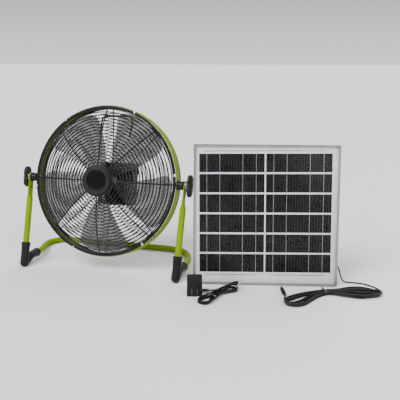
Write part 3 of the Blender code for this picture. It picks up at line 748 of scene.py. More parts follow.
def make_leg(word, side):
    """Ovals stacked up the leg: round below, pressed flat round the pivot, with a round end."""
    along = leg_point(side, 229) - leg_point(side, 0)
    along /= np.linalg.norm(along)
    across = np.cross(along, (1, 0, 0))
    across /= np.linalg.norm(across)
    heights = np.concatenate([np.linspace(40, 168, 12), np.linspace(170, 198, 15), np.linspace(200, 229, 8)])
    press = np.clip((heights - 168) / 27, 0, 1)
    press = press * press * (3 - 2 * press)
    thick, wide = 8 - 5.7 * press, 8 + 3.5 * press
    end = np.linspace(0, math.pi / 2, 10)[1:]
    heights = np.concatenate([heights, 229 + 11.5 * np.sin(end)])
    thick = np.concatenate([thick, np.full(9, 2.3)])
    wide = np.concatenate([wide, np.maximum(11.5 * np.cos(end), 0.4)])
    turn = np.linspace(0, 2 * math.pi, 40, endpoint=False)
    square = 1 - 0.16 * np.concatenate([press, np.ones(9)])[:, None]
    cosine = np.sign(np.cos(turn)) * np.abs(np.cos(turn)) ** square
    sine = np.sign(np.sin(turn)) * np.abs(np.sin(turn)) ** square
    middle = np.array([leg_point(side, h) for h in heights])
    points = middle[:, None, :] + (thick[:, None] * cosine)[..., None] * np.array((1, 0, 0))
    points = points + (wide[:, None] * sine)[..., None] * across
    shape = Shape().grid(points, caps=True)
    build(shape, f"tube_leg_{word}", STAND, "lime", "base", f"leg_{word}")
    rivet = Shape()
    head = [(0, 0), (2.6, 0), (2.6, 0.5), (1.8, 1.1), (0, 1.3)]
    lathe(rivet, head, 20, closed=False)
    for face in (-1, 1):
        place = STAND.copy()
        at = leg_point(side, 203) + (face * 2.2, 0, 0)
        place[:3, 3] = STAND[:3, 3] + at * MM
        place[:3, :3] = STAND[:3, :3] @ np.array(((0, face, 0), (-face, 0, 0), (0, 0, 1)))
        build(rivet, f"leg_rivet_{word}_{'out' if face == side else 'in'}", place, "plastic", "base")


REAR_START = ((211.0, -36, 19.6), (211.5, -22, 18.8), (212, -8, 18.0))
REAR_LEFT = (
    *REAR_START, (216, 18, 15.6), (226, 50, 12.2), (237, 84, 9.2), (236, 112, 8.2),
    (219, 134, 8.1), (188, 143, 8.1), (150, 143.5, 8.1), (75, 143.5, 8.1), (0, 143.5, 8.1),
)
REAR_RIGHT = (
    *REAR_START, (210.5, 18, 15.6), (205.5, 50, 12.2), (198, 82, 9.4), (188, 106, 8.4),
    (172, 126, 8.1), (150, 138, 8.1), (118, 142.8, 8.1), (75, 143.5, 8.1), (0, 143.5, 8.1),
)


def make_rear_tube():
    """The tube from foot to foot round the back, on one curve through its own points."""
    route = np.vstack([mirrored(REAR_LEFT), REAR_RIGHT[-2::-1]])
    shape = sweep(Shape(), spline(route, 4), 8, 32)
    build(shape, "stand_rear_tube", STAND, "lime", "base", "rear_tube")


def make_foot(word, side):
    """An elbow: a round bar from a sleeve on the leg down to the toe, and one from the toe back to a sleeve
    on the rear tube. Each bar's radius follows a profile along it, and a web joins them."""
    rear = np.array(REAR_START) * (side, 1, 1)
    back = (rear[2] - rear[0]) / np.linalg.norm(rear[2] - rear[0])
    leg = leg_point(side, 62) - leg_point(side, 20)
    leg /= np.linalg.norm(leg)
    toe = leg_point(side, 11)
    toe[2] = 9.9
    shape = Shape()
    for mouth, way, inner in ((leg_point(side, 62), leg, leg_point(side, 34)), (rear[2], back, rear[0])):
        path = spline([toe, toe + (inner - toe) * 0.5, inner, mouth - way * 5], 1.5)
        run = np.linspace(0, 1, len(path))
        reach = 11.3 - 0.9 * np.sin(math.pi * run) ** 2
        lip = [mouth - way * 4.6, mouth - way * 4, mouth - way * 0.8, mouth, mouth, mouth - way * 2]
        path = np.vstack([path, lip])
        reach = np.concatenate([reach, [11.7, 12.3, 12.3, 11.5, 8.35, 8.35]])
        _, first, second = frames_along(path[:-3])
        first, second = (np.vstack([axis, np.repeat(axis[-1:], 3, 0)]) for axis in (first, second))
        turn = np.linspace(0, 2 * math.pi, 40, endpoint=False)
        ring = first[:, None] * np.cos(turn)[:, None] + second[:, None] * np.sin(turn)[:, None]
        shape.grid(path[:, None, :] + reach[:, None, None] * ring, caps=True)
    ball = np.linspace(-math.pi / 2, math.pi / 2, 20)
    lathe(shape, np.column_stack([11.4 * np.cos(ball), 11.4 * np.sin(ball)]), 40, closed=False, start=toe)
    web = [toe + leg * 40, toe + leg * 2, toe + (rear[0] - toe) * 0.1, rear[0] + back * 10,
           toe + leg * 18 + back * 20]
    web = fillet(np.array(web)[:, 1:], 8, closed=True, steps=8)
    middle = web.mean(0)
    rows = [(offset, middle + (web - middle) * share)
            for offset, share in ((-6, 0.9), (-5.2, 0.97), (-4, 1), (4, 1), (5.2, 0.97), (6, 0.9))]
    shape.grid(np.stack([np.column_stack([np.full(len(web), toe[0] + o), w]) for o, w in rows]), caps=True)
    shape.points = [np.maximum(points, (-1e9, -1e9, 0)) for points in shape.points]
    build(shape, f"elbow_foot_{word}", STAND, "plastic", "base", f"foot_{word}")


# Tilt pivots


def side_frame(side):
    """The head's frame turned so that +Y runs outwards along the tilt axis."""
    made = HEAD.copy()
    made[:3, :3] = np.column_stack([-side * HEAD[:3, 1], side * HEAD[:3, 0], HEAD[:3, 2]])
    return made


KNOB_WAIST = 10.3


def make_pivot(word, side):
    """Boss, washer and bolt turned about the tilt axis, and a clamp knob whose reach is a waist plus a
    cubed sine, which makes its two wings."""
    place = side_frame(side)
    boss = [(4.3, 196.3), (12, 196.3), (12, 199), (10.8, 199.6), (10.8, 210), (12, 210.6), (12, 213.4),
            (4.3, 213.4)]
    turned(f"tilt_boss_{word}", boss, 0.8, 48, place, "plastic", "head", f"pivot_boss_{word}", True)
    washer = [(4.4, 218.6), (11, 218.6), (11, 219.8), (4.4, 219.8)]
    turned(f"tilt_washer_{word}", washer, 0.35, 48, place, "steel", "base", f"clamp_washer_{word}", True)
    bolt = [(0, 187.6), (3.5, 187.6), (6.9, 189), (6.9, 193.6), (4, 193.6), (4, 231.9), (0, 231.9)]
    turned(f"tilt_bolt_{word}", bolt, 0.7, 32, place, "steel", "head", f"clamp_bolt_{word}")
    turn = np.linspace(0, 2 * math.pi, 120, endpoint=False)
    level = fillet([(0, 0.1), (0.36, 0.1), (0.4, 1.6), (0.88, 2.2), (1.0, 4.2), (1.0, 10.6), (0.92, 13.2),
                    (0.68, 14.6), (0.44, 14.8), (0.38, 15.7), (0, 15.7)], 0.4, steps=5)
    wings = KNOB_WAIST + size_of("knob_wing") * np.abs(np.sin(turn)) ** 3
    wide = np.clip(level[:, :1] * 3.2 - 1.2, 0, 1)
    reach = level[:, :1] * (KNOB_WAIST * (1 - wide) + wings * wide)
    height = 220.3 + level[:, 1:2]
    points = np.stack([reach * np.cos(turn), height + 0 * turn, reach * np.sin(turn)], -1)
    build(Shape().grid(points, wrap_rows=False), f"winged_knob_{word}", place, "soft_grip", f"knob_{word}",
          f"clamp_knob_{word}")


# Head: +Y runs from the front guard to the controls


def dome_y(radius):
    """Depth of the front guard: a dome that falls away from its centre plate as the radius to the power
    2.3."""
    share = np.maximum(radius - 34, 0) / 156
    return -10.5 - 40.5 * (1 - share**2.3)


def dish_y(radius):
    """Depth of the rear guard: a shallow dish that falls as the square of the radius."""
    share = np.maximum(radius - 44, 0) / 146
    return 27 + 13 * (1 - share**2)


def make_drum():
    """The hoop: a sheet-metal band with a rolled bead at each edge and a shallow swage between them."""
    y = np.linspace(-6.4, 24.8, 60)
    bead = 1.15 * np.exp(-(((y + 3.6) / 1.9) ** 2)) + 1.15 * np.exp(-(((y - 22) / 2.1) ** 2))
    swage = 0.8 * np.exp(-(((y - 9) / 4.5) ** 2))
    outside = 195.0 + bead + swage
    outer = np.column_stack([outside, y])
    inner = np.column_stack([outside - 1.3, y])[::-1]
    build(lathe(Shape(), np.vstack([outer, inner]), 180), "drum_band", HEAD, "lime", "head", "drum_hoop")


def wire_guard(name, depth, radii, wire, spokes, bands, replaces, lift):
    """Rings of round wire on a dome, with straight-drawn radial wires behind them and turned flat bands."""
    shape = Shape()
    turn = np.linspace(0, 2 * math.pi, 120, endpoint=False)
    for radius in radii:
        path = np.column_stack([radius * np.cos(turn), np.full(len(turn), depth(radius)),
                                radius * np.sin(turn)])
        sweep(shape, path, wire, 6, closed=True)
    reach = np.linspace(*spokes, 24)
    for angle in np.arange(8) * math.pi / 4:
        path = np.column_stack([reach * math.cos(angle), depth(reach) + lift, reach * math.sin(angle)])
        sweep(shape, path, wire * 1.2, 8)
    for band in bands:
        lathe(shape, band, 120)
    return build(shape, name, HEAD, "wire", "head", replaces)


def make_guards():
    """Both guards: rings of wire at an even pitch on a dome and a dish, with turned rims and collars."""
    rim = fillet([(186.5, -12.4), (193.8, -12.4), (193.8, -7.1), (186.5, -7.1)], 1.3, True)
    cup = fillet([(29, -52.4), (40.6, -51.6), (40.6, -49.2), (29, -49.6)], 0.6, True)
    rings = np.arange(45.5, 186, size_of("front_pitch"))
    wire = size_of("front_wire")
    wire_guard("front_guard", dome_y, rings, wire, (34, 189), (rim, cup), "front_grille", 2.0)
    rear_rim = fillet([(189.5, 25.4), (196, 25.4), (196, 28.9), (189.5, 28.9)], 1.0, True)
    collar = fillet([(40.6, 37.6), (47, 37.6), (47, 41.4), (40.6, 41.4)], 0.8, True)
    rings = np.arange(54, 187, size_of("rear_pitch"))
    wire = size_of("rear_wire")
    wire_guard("rear_guard", dish_y, rings, wire, (45, 191), (rear_rim, collar), "rear_grille", -2.0)


def make_guard_screws():
    """Pan heads with a cross recess: a shallow dome, pressed in where a point is near either line of the
    cross."""
    turn = np.linspace(0, 2 * math.pi, 48, endpoint=False)
    reach = np.linspace(0, 3.1, 14)[:, None]
    x, z = reach * np.cos(turn), reach * np.sin(turn)
    near = np.minimum(np.abs(x), np.abs(z))
    recess = np.clip((0.62 - near) / 0.3, 0, 1) * np.clip((1.9 - reach) / 0.4, 0, 1)
    top = -14.5 + 0.055 * reach**2 + 1.0 * recess
    skirt = np.stack([x[-1:], np.full((1, 48), -12.8), z[-1:]], -1)
    shank = np.stack([x[-1:] * 0.45, np.full((1, 48), -12.8), z[-1:] * 0.45], -1)
    tip = np.stack([x[-1:] * 0.45, np.full((1, 48), -9.0), z[-1:] * 0.45], -1)
    head = np.vstack([np.stack([x, top, z], -1), skirt, shank, tip])
    for k in range(6):
        angle = math.radians(7 + 60 * k)
        at = np.array((192.6 * math.cos(angle), 0, 192.6 * math.sin(angle)))
        shape = Shape().grid(head + at, caps=True)
        build(shape, f"guard_screw_{k + 1}", HEAD, "steel", "head", f"grille_screw_{k + 1}")


def make_centre_plate():
    """A dished grey plate with a fine groove, and a blank gloss badge in its middle."""
    plate = [(0, -53.1), (33, -53.1), (36, -54), (36, -55.2), (35, -56), (30, -56.3), (28.6, -56.3),
             (28.2, -55.9),
             (27.6, -55.9), (27.3, -56.5), (0, -56.5)]
    turned("centre_plate", plate, 0.4, 96, HEAD, "dark_plate", "head", "grille_plate")
    reach = np.linspace(0, 26.4, 16)
    badge = np.column_stack([reach, -58.15 + 0.9 * (reach / 26.4) ** 4])
    badge = np.vstack([badge, [(26.8, -56.7), (0, -56.7)]])
    build(lathe(Shape(), badge, 96, closed=False), "blank_badge", HEAD, "gloss", "head", "grille_badge")


def make_handle():
    """A bent rod whose two ends come down to the rear guard, with a thin sleeve on its top bar."""
    side = [(43.5, 39, 122), (43.5, 45, 131), (43.8, 50, 145), (44, 53, 160), (42, 54.5, 169),
            (34, 56, 175.5), (24, 56, 176)]
    half = np.array(side, float)
    route = np.vstack([mirrored(half), [(0, 56, 176)], half[::-1]])
    path = spline(route, 2.5)
    shape = sweep(Shape(), path, 2.4, 20)
    build(shape, "handle_rod", HEAD, "wire", "head", "carry_handle")
    sleeve = path[(np.abs(path[:, 0]) < 26)]
    run = np.linspace(0, 1, len(sleeve))
    reach = 2.55 + 0.35 * np.clip(np.sin(math.pi * run) * 12, 0, 1)
    build(sweep(Shape(), sleeve, reach, 24), "handle_sleeve", HEAD, "soft_grip", "head")


def make_motor():
    """A turned can with cooling ribs, and its shaft."""
    ribs = []
    for k in range(7):
        y = 25 + 4 * k
        ribs += [(38.6, y), (39.9, y + 0.5), (39.9, y + 2), (38.6, y + 2.5)]
    can = [(0, 18.2), (4.4, 18.2), (12, 18.2), (13, 19.4), (30, 19.4), (36, 20), (38.6, 23), *ribs,
           (39.9, 54), (37, 59.6), (0, 59.6)]
    turned("motor_can", can, 0.6, 96, HEAD, "plastic", "head", "motor_housing")
    shaft = [(0, -30), (3.4, -30), (4, -29), (4, 35.8), (0, 35.8)]
    turned("rotor_shaft", shaft, 0.3, 32, HEAD, "steel", "rotor", "motor_shaft")


BLADE_ROOT = 28


def make_blades():
    """Five pitched blades. On a blade, u runs out along the radius and v across the chord: angle = root +
    sweep u + spread(u) v, depth = -1 - 2 d(u) v + 2 (1 - 4 v^2), with the tip's corners drawn in."""
    shape = Shape()
    u, v = np.meshgrid(np.linspace(0, 1, 30), np.linspace(-0.5, 0.5, 22), indexing="ij")
    spread = np.radians(34 + 16 * np.sin(math.pi * np.minimum(u, 0.5)))
    corner = np.clip((u - 0.8) / 0.2, 0, 1) ** 3
    spread = spread * (1 - 0.16 * corner)
    radius = BLADE_ROOT + (size_of("blade_reach") - BLADE_ROOT) * u - 4.5 * corner * (2 * v) ** 4
    deep = 15 - 5 * u
    for k in range(5):
        angle = math.radians(46 + 72 * k) + math.radians(10) * u + spread * v
        y = -1 - 2 * deep * v + 2 * (1 - 4 * v**2)
        skin = np.stack([radius * np.cos(angle), y, radius * np.sin(angle)], -1)
        along, across = np.gradient(skin, axis=0), np.gradient(skin, axis=1)
        normal = np.cross(along, across)
        normal /= np.linalg.norm(normal, axis=2)[..., None]
        edge = np.minimum(np.minimum(0.5 - np.abs(v), 1 - u) / 0.04, 1)
        half = (0.45 + 0.6 * np.sqrt(np.clip(edge, 0, 1)))[..., None]
        rows, columns = u.shape
        front = np.arange(rows * columns).reshape(rows, columns)
        rim = np.concatenate([front[0, :], front[1:, -1], front[-1, -2::-1], front[-2:0:-1, 0]])
        ahead = np.roll(rim, -1)
        quads = np.stack([front[:-1, :-1], front[:-1, 1:], front[1:, 1:], front[1:, :-1]], -1).reshape(-1, 4)
        back = rows * columns
        wall = np.column_stack([rim, ahead, ahead + back, rim + back])
        points = np.vstack([(skin + normal * half).reshape(-1, 3), (skin - normal * half).reshape(-1, 3)])
        shape.add(points, np.vstack([quads, quads[:, ::-1] + back, wall]).tolist())
    build(shape, "rotor_blades", HEAD, "smoke", "rotor", "fan_blades", smooth=50)
    hub = [(4.3, -21.9), (24, -21.9), (31, -18), (31.9, -12), (31.9, 11.9), (29.4, 11.9), (29.4, -10),
           (24, -15), (9, -15), (9, 11.9), (4.3, 11.9)]
    hub_shape = lathe(Shape(), fillet(hub, 1.2, True), 96)
    for k in range(10):
        rib = Shape()
        soft_box(rib, (9, -14, -0.9), (29.5, 10, 0.9), 0.4, 2)
        hub_shape.add(turned_points(rib.points[0], "y", 2 * math.pi * k / 10), rib.faces)
    build(hub_shape, "rotor_hub", HEAD, "smoke_hub", "rotor")
    turn = np.linspace(0, 2 * math.pi, 96, endpoint=False)
    nut = fillet([(0, -36.2), (6, -35.6), (8.2, -34), (10.6, -30), (10.9, -23.4), (10.6, -22.4),
                  (4.3, -22.4), (4.3, -31), (0, -31)], 0.5)
    flute = 1 - 0.045 * (0.5 + 0.5 * np.cos(12 * turn)) * np.clip((nut[:, :1] - 8) / 2, 0, 1)
    points = np.stack([nut[:, :1] * flute * np.cos(turn), nut[:, 1:2] + 0 * turn,
                       nut[:, :1] * flute * np.sin(turn)], -1)
    build(Shape().grid(points), "rotor_nut", HEAD, "plastic", "rotor", "blade_nut")


BUTTON_AT = (-26, 0, -16)
JACK_AT = (20, 0, -42)
DIAL_AT = (0, 0, 24)


def make_control_box():
    """The battery case with shallow side ribs, its cover with a dial dish, and what sits inside and on it."""
    case = soft_box(Shape(), (-49, 60, -62), (49, 98, 52), 5, 6)
    for z in range(-50, 45, 8):
        for x in (-49, 49):
            soft_box(case, (x - 0.6, 66, z), (x + 0.6, 94, z + 3), 0.5, 2)
    case.points = [np.clip(points, (-49, -1e9, -62), (49, 98, 52)) for points in case.points]
    build(case, "battery_case", HEAD, "plastic", "head", "control_box")
    cover = soft_box(Shape(), (-49, 98.3, -62), (49, 104, 52), 2.2, 5)
    turn_ring = fillet([(17.4, 103.6), (19.6, 103.6), (19.6, 104.9), (18.9, 105.2), (17.4, 105.2)], 0.3,
                       True)
    lathe(cover, turn_ring, 64, start=DIAL_AT)
    build(cover, "control_face", HEAD, "plastic", "head", "control_cover")
    ticks = Shape()
    for k in range(10):
        tick = Shape()
        soft_box(tick, (-0.45, 103.7, 22.2), (0.45, 104.15, 25.2 if k % 3 == 0 else 24.2), 0.15, 1)
        at = turned_points(tick.points[0], "y", math.radians(-135 + 30 * k)) + DIAL_AT
        ticks.add(at, tick.faces)
    for x, z in ((-26, -25), (20, -28), (20, -50.5), (-26, -49)):
        soft_box(ticks, (x - 4, 103.7, z - 0.4), (x + 4, 104.15, z + 0.4), 0.15, 1)
    build(ticks, "face_marks", HEAD, "mark", "head")
    corners = Shape()
    for x in (-43, 43):
        for z in (-56, 46):
            head = fillet([(0, 104.2), (1.2, 104.2), (1.4, 104.7), (2.6, 104.6), (3, 104.0), (0, 103.8)],
                          0.2)
            lathe(corners, head, 24, closed=False, start=(x, 0, z))
    build(corners, "cover_screws", HEAD, "steel", "head")
    turn = np.linspace(0, 2 * math.pi, 160, endpoint=False)
    dial = fillet([(0, 115.2), (11.6, 115.2), (13.6, 114.2), (14.6, 111), (15.8, 105.4), (15.4, 104.6),
                   (3, 104.6), (3, 88.5), (0, 88.5)], 0.7)
    knurl = 1 - 0.03 * (0.5 + 0.5 * np.cos(32 * turn)) * np.clip((dial[:, :1] - 12) / 2, 0, 1)
    points = np.stack([dial[:, :1] * knurl * np.cos(turn), dial[:, 1:2] + 0 * turn,
                       dial[:, :1] * knurl * np.sin(turn)], -1)
    build(Shape().grid(points + np.array(DIAL_AT)), "dial_knob", HEAD, "soft_grip", "dial", "speed_dial")
    pointer = soft_box(Shape(), (-0.7, 114.9, 27), (0.7, 115.4, 37), 0.2, 2)
    build(pointer, "dial_pointer", HEAD, "mark", "dial")
    button = [(0, 106.7), (3.6, 106.6), (4.9, 106.0), (5.4, 105), (5.4, 92.2), (0, 92.2)]
    turned("push_button", button, 0.5, 40, HEAD, "soft_grip", "button", "power_button", start=BUTTON_AT)
    ring = [(6, 103.8), (7.4, 103.8), (7.4, 104.6), (6, 104.8)]
    turned("button_ring", ring, 0.3, 40, HEAD, "steel", "head", closed=True, start=BUTTON_AT)
    build(usb_shape(), "usb_port", HEAD, "steel", "head", "usb_socket")
    tongue = soft_box(Shape(), (14, 96, -16.9), (26, 102, -15), 0.3, 2)
    build(tongue, "usb_tongue", HEAD, "mark", "head")
    jack = [(3, 94.6), (3, 103.8), (3.6, 104.6), (5.5, 104.4), (5.5, 92.6), (0, 92.6), (0, 94.6)]
    turned("charge_jack", jack, 0.3, 40, HEAD, "plastic", "head", "dc_socket", start=JACK_AT)
    pin = [(0, 94.4), (0.9, 94.4), (0.9, 102), (0, 102.6)]
    turned("jack_pin", pin, 0.3, 16, HEAD, "steel", "head", start=JACK_AT)
    lens = soft_box(Shape(), (-37, 98.7, -44), (-15, 104.6, -40), 0.7, 3)
    build(lens, "charge_window", HEAD, "lens", "head", "charge_lens")
    pack = Shape()
    turn = np.linspace(0, 2 * math.pi, 40, endpoint=False)
    for z in (-47.2, -29.4, -11.7):
        path = np.column_stack([np.linspace(-35, 35, 12), np.full(12, 74.0), np.full(12, z)])
        sweep(pack, path, np.r_[7.6, 8.8, np.full(8, 8.8), 8.8, 7.6], 28)
    build(pack, "battery_cells", HEAD, "battery", "head", "battery_pack")
    board = soft_box(Shape(), (-42, 64, 4), (42, 65.6, 46), 0.4, 2)
    for x, z, wide, tall, high in ((-28, 14, 14, 14, 3), (2, 30, 20, 8, 4), (24, 16, 9, 9, 6),
                                   (30, 36, 12, 6, 3)):
        soft_box(board, (x - wide / 2, 65.3, z - tall / 2), (x + wide / 2, 65.6 + high, z + tall / 2), 0.5,
                 2)
    build(board, "driver_board", HEAD, "board", "head", "control_board")


def usb_shape():
    """A thin folded shell: the same rounded rectangle carried inwards, round the lip and back."""
    def ring(wide, tall, y):
        outline = fillet([(-wide, -tall), (wide, -tall), (wide, tall), (-wide, tall)], 1.0, True, 5)
        return np.column_stack([outline[:, 0] + 20, np.full(len(outline), y), outline[:, 1] - 16])
    rows = [(7.0, 3.0, 95.0), (7.0, 3.0, 103.0), (7.5, 3.5, 103.8), (8, 4, 103.4), (8, 4, 92.2)]
    return Shape().grid(np.stack([ring(*row) for row in rows]), caps=True)


# Solar panel: from the middle of its front bottom edge, +Y to its back

CELL_FIELD = {
    "left": -160.4, "right": 157.4, "bottom": 30.0, "top": 318.5, "gap": 4.2, "finger": 6.7, "askew": 0.01,
    "buses": ((325.0, -149, 139), (23.5, -143, -18), (23.5, 13, 141)),
}


def make_panel_frame():
    """Four lengths of one extrusion, mitred at the corners: the profile (inset, depth) carried round the
    frame, with a hairline left open at each mitre."""
    profile = [(0, 0.5), (0.5, 0), (4.2, 0), (4.5, 0.3), (4.5, 1.5), (1.8, 1.6), (1.8, 15.4), (13, 15.5),
               (13, 17),
               (0.5, 17), (0, 16.5), (0, 12.4), (0.5, 12.1), (0.5, 11.5), (0, 11.2)]
    profile = fillet(profile, 0.25, True, 3)
    half = PANEL_WIDE / 2
    shape = Shape()
    hair = 0.12
    for turn in range(4):
        long = half if turn % 2 == 0 else PANEL_TALL / 2
        reach = PANEL_TALL / 2 if turn % 2 == 0 else half
        ends = []
        for side in (-1, 1):
            x = side * (long - profile[:, 0] - hair)
            ends.append(np.column_stack([x, profile[:, 1], -(reach - profile[:, 0])]))
        ring = np.stack(ends)
        points = turned_points(ring.reshape(-1, 3), "y", turn * math.pi / 2).reshape(ring.shape)
        shape.grid(points + np.array((0, 0, PANEL_TALL / 2)), caps=True)
    build(shape, "panel_rails", PANEL, "aluminium", "base", "panel_frame")
    ties = Shape()
    for x in (-1, 1):
        for z in (8, PANEL_TALL - 8):
            head = fillet([(0, 17.0), (1.0, 17.2), (2.6, 17.4), (3, 17.0), (3, 16.6), (0, 16.6)], 0.2)
            lathe(ties, head, 24, closed=False, start=(x * (half - 6.5), 0, z))
    ties.points = [np.minimum(points, (1e9, 17.35, 1e9)) for points in ties.points]
    build(ties, "corner_rivets", PANEL, "steel", "base")


def flat_sheet(name, low, high, material, replaces, radius):
    """A sheet as wide and tall as the frame less its edge, whose u and v are its width and height in
    metres."""
    edge = 1.9
    half = PANEL_WIDE / 2 - edge
    shape = soft_box(Shape(), (-half, low, edge), (half, high, PANEL_TALL - edge), radius, 2)
    shape.places = [points[:, [0, 2]] * MM for points in shape.points]
    return build(shape, name, PANEL, material, "base", replaces)


def make_panel_layers():
    """Glass, cells and back sheet, as three flat sheets with an air gap between them."""
    flat_sheet("front_glass", 1.8, 4.8, "glass", "panel_glass", 0.5)
    flat_sheet("cell_laminate", 5.1, 5.9, "cells", "cell_sheet", 0.2)
    flat_sheet("rear_laminate", 6.2, 7.0, "white_laminate", "back_sheet", 0.2)


def make_junction():
    """The box behind the panel, with a ribbed lid, four screws and a domed cable gland."""
    case = soft_box(Shape(), (88, 7.3, 35), (140, 27, 85), 2.6, 5)
    soft_box(case, (84.5, 7.2, 40), (143, 9.0, 80), 0.6, 3)
    build(case, "junction_case", PANEL, "plastic", "base", "junction_box")
    lid = soft_box(Shape(), (88, 27.3, 35), (140, 29.5, 85), 1.0, 4)
    for x in range(100, 132, 5):
        soft_box(lid, (x, 29.1, 47), (x + 2, 29.9, 73), 0.35, 2)
    build(lid, "junction_cover", PANEL, "plastic", "base", "junction_lid")
    screws = Shape()
    for x in (92.5, 135.5):
        for z in (39.5, 80.5):
            lathe(screws, fillet([(0, 29.4), (1.1, 29.4), (1.2, 29.9), (2.2, 29.8), (2.5, 29.3), (0, 29.2)],
                                 0.15), 20, closed=False, start=(x, 0, z))
    build(screws, "junction_screws", PANEL, "steel", "base")
    place = PANEL.copy()
    place[:3, :3] = np.column_stack([-PANEL[:3, 1], PANEL[:3, 0], PANEL[:3, 2]])
    place[:3, 3] = PANEL[:3, 3] + (PANEL[:3, :3] @ np.array((0, 20.5, 60))) * MM
    turn = np.linspace(0, 2 * math.pi, 96, endpoint=False)
    hexagon = 1 / np.cos((turn + math.pi / 6) % (math.pi / 3) - math.pi / 6)
    gland = np.array([(1.95, 140.3), (5.2, 140.3), (5.2, 143.6), (4.9, 143.8), (4.9, 146.4), (4.0, 147.8),
                      (2.2, 148.3), (1.95, 148.3)])
    shaped = np.where(np.array((0, 1, 1, 0, 0, 0, 0, 0))[:, None] > 0, hexagon, 1.0)
    points = np.stack([gland[:, :1] * shaped * np.cos(turn), gland[:, 1:2] + 0 * turn,
                       gland[:, :1] * shaped * np.sin(turn)], -1)
    build(Shape().grid(points, wrap_rows=True), "lead_gland", place, "plastic", "base", "cable_gland")


PROP_SLANT = math.radians(11.2)
PROP_ROD = 2.5


def make_prop():
    """The folding rod, bent into a U, with rubber sleeves on its corners, and its two riveted brackets."""
    hinge = np.array(PROP_JOINT["pos_m"])
    across = -np.array(PROP_JOINT["axis"])
    low = np.array(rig.box("prop_leg")[0])[2]
    outward = np.array((-across[1], across[0], 0))
    slope = outward * math.sin(PROP_SLANT) - np.array((0, 0, math.cos(PROP_SLANT)))
    place = frame_of(hinge, across, np.cross(-slope, across))
    drop = ((hinge[2] - low) / MM - PROP_ROD) / math.cos(PROP_SLANT)
    side = [(101, 0, 0), (94, 0, 0), (87, 0, 0), (82, 0, -1.8), (80, 0, -7), (80, 0, -20), (80, 0, -120),
            (80, 0, 20 - drop),
            (76, 0, 4 - drop), (64, 0, -drop)]
    half = np.array(side, float)
    route = np.vstack([mirrored(half), [(0, 0, -drop)], half[::-1]])
    path = spline(route, 3)
    build(sweep(Shape(), path, 2.45, 20), "prop_rod", place, "steel", "prop", "prop_leg")
    sleeve = path[(path[:, 2] < 9 - drop) & (np.abs(path[:, 0]) > 40)]
    shape = Shape()
    for side in (-1, 1):
        part = sleeve[sleeve[:, 0] * side > 0]
        run = np.linspace(0, 1, len(part))
        sweep(shape, part, 2.46 + 0.04 * np.clip(np.sin(math.pi * run) * 9, 0, 1), 20)
    build(shape, "prop_sleeves", place, "soft_grip", "prop")
    for word, side in (("left", -1), ("right", 1)):
        middle = side * 93.5
        bracket = soft_box(Shape(), (middle - 5.4, 7.4, 237.2), (middle + 5.4, 28.4, 252.8), 2.0, 5)
        soft_box(bracket, (middle - 5.4, 7.3, 230), (middle + 5.4, 9.0, 260), 0.7, 3)
        for z in (233.5, 256.5):
            lathe(bracket, fillet([(0, 10.2), (1.6, 10.0), (2.4, 9.0), (2.4, 8.6), (0, 8.6)], 0.3), 20,
                  closed=False, start=(middle, 0, z))
        build(bracket, f"hinge_bracket_{word}", PANEL, "steel", "base", f"prop_bracket_{word}")


# Adapter: from the middle of its front bottom edge, +Y to its back


PIN_SIDES = (-0.75, -0.7, 0.7, 0.75)


def make_adapter():
    """The brick, a rounded block with two pin slots in the lower part of its front, its folded pins on
    their round bar, and a tapered boot whose rings are a cosine along its length."""
    body = soft_box(Shape(), (-17.7, 0.3, 19.6), (17.7, 27.7, 46), 2.6, 6)
    soft_box(body, (-18, 0, 0), (-7.8, 28, 19.9), 1.6, 4)
    soft_box(body, (7.8, 0, 0), (18, 28, 19.9), 1.6, 4)
    soft_box(body, (-10, 8.2, 0), (10, 28, 20), 1.2, 3)
    soft_box(body, (-5.0, 0, 0), (5.0, 26, 19.9), 1.0, 3)
    soft_box(body, (-9, 0.2, 18.6), (9, 20, 24), 0.8, 3)
    build(body, "adapter_brick", ADAPTER, "plastic", "base", "adapter_body")
    pins = Shape()
    sweep(pins, np.column_stack([np.linspace(-9, 9, 8), np.full(8, 4.0), np.full(8, 25.0)]), 1.45, 20)
    outline = [(0.8, 5.4), (2.0, 5), (6.0, 5), (7.2, 5.4), (7.2, 25.5), (6, 27), (2, 27), (0.8, 25.5)]
    outline = fillet(outline, 0.8, True, 4)
    for x in (-6.35, 6.35):
        rows = [np.column_stack([np.full(len(outline), x + offset), outline]) for offset in PIN_SIDES]
        pins.grid(np.stack(rows), caps=True)
    build(pins, "folded_pins", ADAPTER, "dull_nickel", "pins", "adapter_pins")
    place = ADAPTER.copy()
    place[:3, :3] = np.column_stack([-ADAPTER[:3, 1], ADAPTER[:3, 0], ADAPTER[:3, 2]])
    place[:3, 3] = ADAPTER[:3, 3] + (ADAPTER[:3, :3] @ np.array((0, 22, 7))) * MM
    run = np.linspace(0, 15, 46)
    ribs = 3.95 - 1.35 * run / 15 - 0.45 * (np.cos(run * 2 * math.pi / 2.6) > 0.35) * (run > 1.2) * (run < 14)
    relief = np.vstack([np.column_stack([ribs, run + 18.3]), [(1.85, 33.3), (1.85, 18.3)]])
    build(lathe(Shape(), relief, 40), "adapter_boot", place, "soft_grip", "base", "adapter_relief",
          "black_cable", smooth=25)


# Leads: routes in the stand's frame, in millimetres

